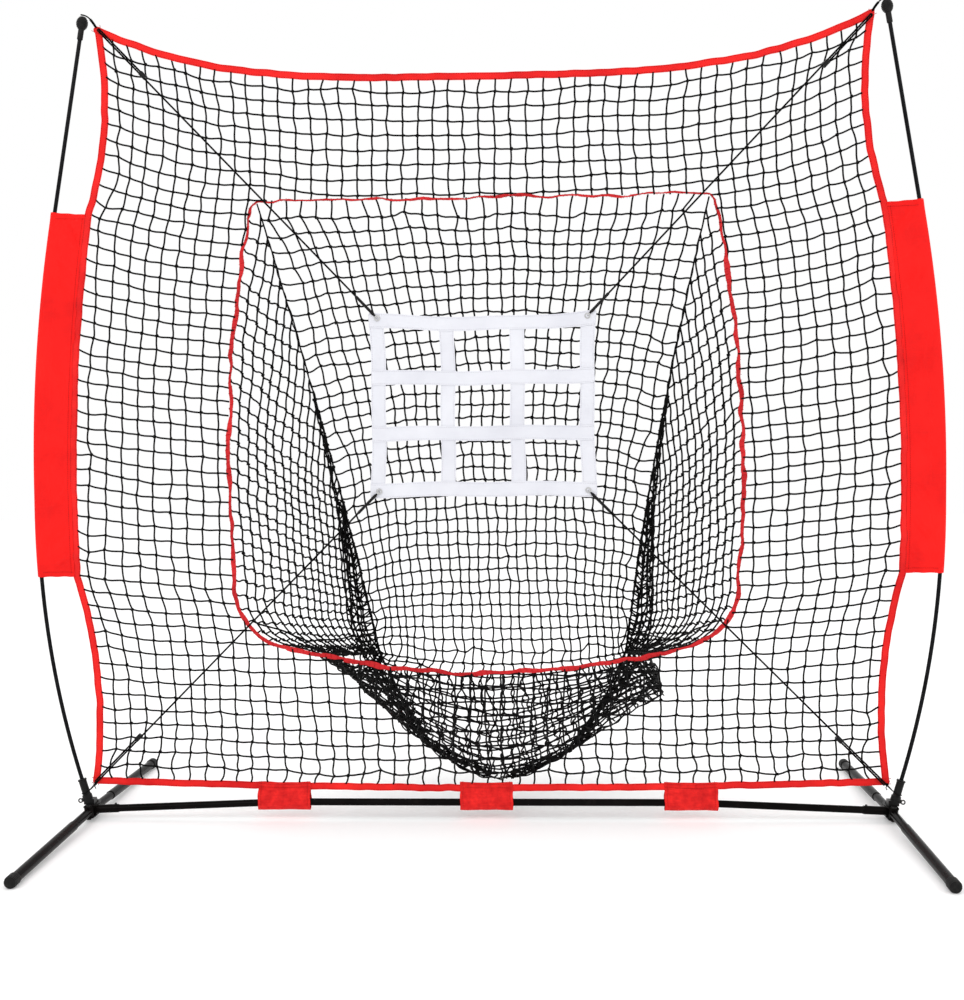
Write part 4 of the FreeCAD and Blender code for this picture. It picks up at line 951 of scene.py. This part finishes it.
# Folded webbing: round at the fold, dented along both rows of stitches.
WEBBING_ACROSS = (-1, -0.9, -0.76, -0.6, -0.3, 0, 0.3, 0.6, 0.76, 0.9, 1.0)
WEBBING_RISE = (0.80, 0.98, 0.72, 0.95, 1, 1.02, 1, 0.95, 0.70, 0.92, 0.45)


def make_webbing(name, edge, outward, grow):
    """One strap of the border: a folded band with a row of stitches near each edge, front and back."""
    line = lift(resample(edge, pitch=0.006))
    ends = unit(np.stack([line[0] - line[1], line[-1] - line[-2]]))
    line[0] += ends[0] * grow
    line[-1] += ends[1] * grow
    sway = wander(len(line), 6, 0.0006)
    sway[:, 1] *= 1.3
    line = line + sway
    along = unit(np.gradient(line, axis=0))
    across = outward * unit(np.cross(along, AXIS_Y))
    profile = both_faces(WEBBING_ACROSS, WEBBING_RISE, WEBBING_HALF, WEBBING_THICK)
    strap = add(f"border_{name}_webbing", strip(line, across, profile), WEBBING_RED,
                replaces=[f"border_{name}"])
    subdivide(strap)
    threads = [stitches(line + across * offset, face, WEBBING_THICK * 0.82, pitch=0.0062)
               for offset in (-WEBBING_SEAM, WEBBING_SEAM) for face in (-1, 1)]
    add(f"border_{name}_thread", join(threads), THREAD_RED_PAINTED_SHADE)


def make_binding():
    """The mouth's edge: a bound cord of tape, twisted and gathered unevenly by the netting it holds.

    Its wander and twist fade to nothing where it closes. level grows from 0 to 1 towards the mouth's top.
    """
    sides, coils, wrap_length, wrap_radius = 14, 3, 0.011, 0.00042
    line = lift(resample(np.concatenate([MOUTH, MOUTH[:1]]), pitch=0.005))[:-1]
    count = len(line)
    drift = wander(count, 26, 0.0026) + wander(count, 8, 0.0009) + wander(count, 2, 0.0003)
    fade = np.sin(np.linspace(0, np.pi, count)) ** 0.2
    line = line + drift * fade[:, None] * (1, 0.6, 1)
    along = unit(np.roll(line, -1, axis=0) - np.roll(line, 1, axis=0))
    across = unit(np.cross(along, AXIS_Y))
    normal = np.cross(along, across)
    level = np.clip((line[:, 2] - 1.50) / 0.12, 0, 1)
    uneven = [wander(count, passes, 1.0, 1)[:, 0] * fade for passes in (14, 4, 12)]
    width = (0.0054 - 0.0020 * level) * (1 + 0.24 * np.clip(uneven[0], -1.6, 2))
    thick = 0.0019 + 0.0004 * np.clip(uneven[1], -1, 1)
    twist = (0.25 + 0.55 * level) * uneven[2]
    turn = np.linspace(0, 2 * np.pi, sides, endpoint=False)
    pucker = 1 + 0.09 * RNG.normal(size=(count, sides))
    a = width[:, None] * np.cos(turn) * pucker
    b = thick[:, None] * np.sign(np.sin(turn)) * np.abs(np.sin(turn)) ** 0.7 * pucker
    ca, sa = np.cos(twist)[:, None], np.sin(twist)[:, None]
    points = (line[:, None] + (a * ca - b * sa)[..., None] * across[:, None]
              + (a * sa + b * ca)[..., None] * normal[:, None])
    shape = points, quads(count, sides, ring=True, closed=True).tolist()
    subdivide(add("mouth_binding_tape", shape, BINDING_RED, replaces=["mouth_binding"]))
    spots = np.arange(4, count - 4, coils)
    turn = np.linspace(0, 2 * np.pi, 9)[None, :, None]
    step = np.linspace(-0.5, 0.5, 9)[None, :, None]
    wraps = (line[spots][:, None] + np.cos(turn) * 1.12 * (width[spots, None] * across[spots])[:, None]
             + np.sin(turn) * 1.25 * (thick[spots, None] * normal[spots])[:, None]
             + step * wrap_length * along[spots][:, None])
    add("mouth_binding_thread", ring_mesh(wraps, 4, wrap_radius), THREAD_RED_PAINTED_SHADE)


POLE_X = 1.193  # the poles' widest, upright part
BOWS = ((0.818, -1, 2.5), (0.897, 1, 4.2))  # where each bow starts, its way up or down, and its radius
SLEEVE_LOW, SLEEVE_HIGH, SLEEVE_WRAP = 0.654, 1.616, 0.0088
# Faint folds: distance from the border, height, angle, length, width and depth.
SLEEVE_FOLDS = (
    (0.035, 1.56, 0.9, 0.05, 0.010, 0.0030), (0.060, 1.50, 0.7, 0.06, 0.012, -0.0026),
    (0.050, 1.42, 0.8, 0.07, 0.014, 0.0024), (0.045, 1.18, 1.2, 0.09, 0.016, 0.0018),
    (0.055, 0.98, -0.7, 0.06, 0.012, 0.0022), (0.040, 0.86, -0.9, 0.06, 0.011, -0.0026),
    (0.050, 0.76, -0.8, 0.05, 0.010, 0.0030), (0.030, 0.70, -0.6, 0.04, 0.009, -0.0024),
)


def pole_x(z):
    """The pole's distance from the centre plane at a height beside the sleeve."""
    inward = [radius * (1 - np.cos(np.arcsin(np.clip(way * (z - start) / radius, 0, 1))))
              for start, way, radius in BOWS]
    return POLE_X - np.maximum(*inward)


def creases(across, along, folds):
    """Long shallow folds in cloth: each is a centre, a direction, a length, a width and a depth."""
    height = np.zeros(np.broadcast(across, along).shape)
    for a, b, angle, length, width, depth in folds:
        da, db = across - a, along - b
        run = da * np.cos(angle) + db * np.sin(angle)
        off = -da * np.sin(angle) + db * np.cos(angle)
        height += depth * np.exp(-(run / length) ** 2 - (off / width) ** 2)
    return height


def make_sleeve(name, side):
    """Cloth sewn to the border that wraps the pole and comes back: two layers with one crease pattern."""
    rows, flat, turns = 150, 20, 12
    z = np.linspace(SLEEVE_LOW, SLEEVE_HIGH, rows)[:, None]
    start = np.interp(z, EDGE_RIGHT[:, 1], EDGE_RIGHT[:, 0]) + 0.0050
    pole = pole_x(z)
    share = np.linspace(0, 1, flat)[None]
    x = start + (pole - start) * share
    rise = np.clip((share - 0.62) / 0.38, 0, 1)
    half = 0.0014 + 0.0074 * rise ** 2 * (3 - 2 * rise)
    turn = np.linspace(-np.pi / 2, np.pi / 2, turns)[None, 1:-1]
    ring_x = np.concatenate([x, pole + SLEEVE_WRAP * np.cos(turn), x[:, ::-1]], 1)
    ring_y = np.concatenate([-half + 0 * z, SLEEVE_WRAP * np.sin(turn) + 0 * z, half[:, ::-1] + 0 * z], 1)
    reach = ring_x - start
    sway = 1.8 * creases(reach, z, SLEEVE_FOLDS) + 0.0010 * np.sin(z * 21 + reach * 30)
    slack = np.clip((pole - 0.010 - ring_x) / 0.02, 0, 1) * np.clip((ring_x - start - 0.004) / 0.015, 0, 1)
    ring_y = ring_y + sway * slack
    hem = np.minimum(z - SLEEVE_LOW, SLEEVE_HIGH - z)
    puff = 1 + 0.12 * (hem < 0.013) * np.abs(ring_y) / SLEEVE_WRAP
    ends = np.clip(1 - hem / 0.02, 0, 1) * np.sign(z - 1.1)
    ring_z = z + 0.007 * ends * (reach / 0.1 - 0.2) * (z > 1.1) + 0.0006 * np.sin(reach * 160) * ends
    points = np.stack([side * ring_x, ring_y * puff, ring_z + 0 * ring_x], -1)
    faces = quads(rows, points.shape[1])[:, ::side].tolist()
    piece = add(f"pole_sleeve_{name}_cloth", (points, faces), SLEEVE_RED,
                replaces=[f"pole_sleeve_{name}"])
    thicken(piece, 0.0007, offset=1)
    threads = []
    for layer, face in ((points[:, :flat], -1), (points[:, -flat:][:, ::-1], 1)):
        threads.append(stitches(layer[2:-2, 2], face, 0.0008, pitch=0.006))
        # The rows along the top and bottom hems are real stitches, and their dark thread also paints the
        # shade along the sleeve's folded edges.
        threads += [stitches(layer[row, 1:-2], face, 0.0008) for row in (2, -3)]
    thread = add(f"pole_sleeve_{name}_thread", join(threads), THREAD_RED_PAINTED_SHADE)


def make_tab(name, centre):
    """A tab of cloth sewn to both faces of the border that passes under the crossbar."""
    columns, width, radius = 36, 0.141, 0.0136
    bar_z, top = 0.0468, 0.102
    x = centre + np.linspace(-width / 2, width / 2, columns)[:, None]
    border_z = np.interp(x, EDGE_BOTTOM[:, 0], EDGE_BOTTOM[:, 1])
    down = np.linspace(0, 1, 14)[None]
    z_side = top - 0.003 * np.cos(3.1 * (x - centre) / width) + (bar_z - top) * down
    gap = 0.0032 + (radius - 0.0032) * np.clip((border_z - 0.012 - z_side) / 0.018, 0, 1) ** 0.8
    turn = np.linspace(0, np.pi, 14)[None, 1:-1]
    ring_y = np.concatenate([-gap, -radius * np.cos(turn) + 0 * x, gap[:, ::-1]], 1)
    ring_z = np.concatenate([z_side, bar_z - radius * np.sin(turn) + 0 * x, z_side[:, ::-1]], 1)
    off = x - centre
    wave = 0.0011 * np.sin(off * 130 + centre * 9 + ring_z * 40) + 0.0009 * np.sin(off * 61 + 2)
    loose = np.clip((0.083 - ring_z) / 0.02, 0, 1)
    ring_y = ring_y + wave * loose * np.where(ring_y < 0, -1, 1)
    sag = 0.0006 * np.sin(off * 45 + 1.0) * (ring_z < bar_z)
    edge = 1 + 0.05 * (np.abs(off) > width / 2 - 0.008)
    hung = np.where(ring_z < bar_z, bar_z + (ring_z - bar_z) * 1.5, ring_z) + sag
    ragged = x + 0.0009 * np.sin(ring_z * 170 + centre) * (np.abs(off) * 2 / width) ** 4
    points = np.stack([ragged, ring_y * edge, hung], -1)
    faces = quads(*points.shape[:2])[:, [0, 3, 2, 1]].tolist()
    piece = add(f"crossbar_tab_{name}", (points, faces), TAB_RED, replaces=["crossbar_tabs"])
    thicken(piece, 0.0009, offset=0)
    threads = []
    for layer, face, seams in ((points[:, :15], -1, (1, 3)), (points[:, -15:], 1, (-2, -4))):
        threads += [stitches(layer[1:-1, k], face, 0.0007) for k in seams]
        threads += [stitches(layer[i], face, 0.0007) for i in (2, -3)]
    thread = add(f"crossbar_tab_{name}_thread", join(threads), THREAD_RED_PAINTED_SHADE)


make_webbing("left", EDGE_LEFT, -1, 0.010)
make_webbing("right", EDGE_RIGHT, 1, 0.010)
make_webbing("bottom", EDGE_BOTTOM, 1, 0.011)
make_webbing("top", EDGE_TOP, -1, 0.011)
make_binding()
for sleeve_name, sleeve_side in SIDES:
    make_sleeve(sleeve_name, sleeve_side)
for tab_name, tab_x in (("left", -0.541), ("centre", 0.0), ("right", 0.541)):
    make_tab(tab_name, tab_x)

# ------------------------------------------------------------------- floor


FLOOR_REACH, FLOOR_DROP = 14, 0.0006
LIGHTS = (((-2.5, -4.5, 4.0), 2.5, 75), ((3.5, -3.5, 3.0), 2.5, 35), ((0, 3.5, 4.5), 3.0, 40))
LIT = Vector((0, 0, 0.9))


def make_stage():
    """A white floor and surrounding, and soft lights, each with its place, its size and its power."""
    data = bpy.data.meshes.new("floor")
    square = ((-1, -1), (1, -1), (1, 1), (-1, 1))
    corners = [(FLOOR_REACH * x, FLOOR_REACH * y, -FLOOR_DROP) for x, y in square]
    data.from_pydata(corners, [], [(0, 1, 2, 3)])
    t = Tree("floor_pale")
    tone = t.blend(t.noise(1.5, 2), (0.90, 0.90, 0.90), (0.93, 0.93, 0.93))
    data.materials.append(t.finish(Base_Color=tone, Roughness=0.9, Specular_IOR_Level=0.1,
                                   Emission_Color=(1, 1, 1), Emission_Strength=0.14))
    link("floor", data)
    world = bpy.data.worlds.new("world")
    world.use_nodes = True
    world.node_tree.nodes["Background"].inputs["Color"].default_value = (1, 1, 1, 1)
    world.node_tree.nodes["Background"].inputs["Strength"].default_value = 1.0
    bpy.context.scene.world = world
    bpy.context.scene.view_settings.view_transform = "Standard"
    for place, size, power in LIGHTS:
        data = bpy.data.lights.new("soft", "AREA")
        data.size = size
        data.energy = power
        light = link("soft", data)
        light.location = place
        light.rotation_euler = (LIT - light.location).to_track_quat("-Z", "Y").to_euler()


make_stage()
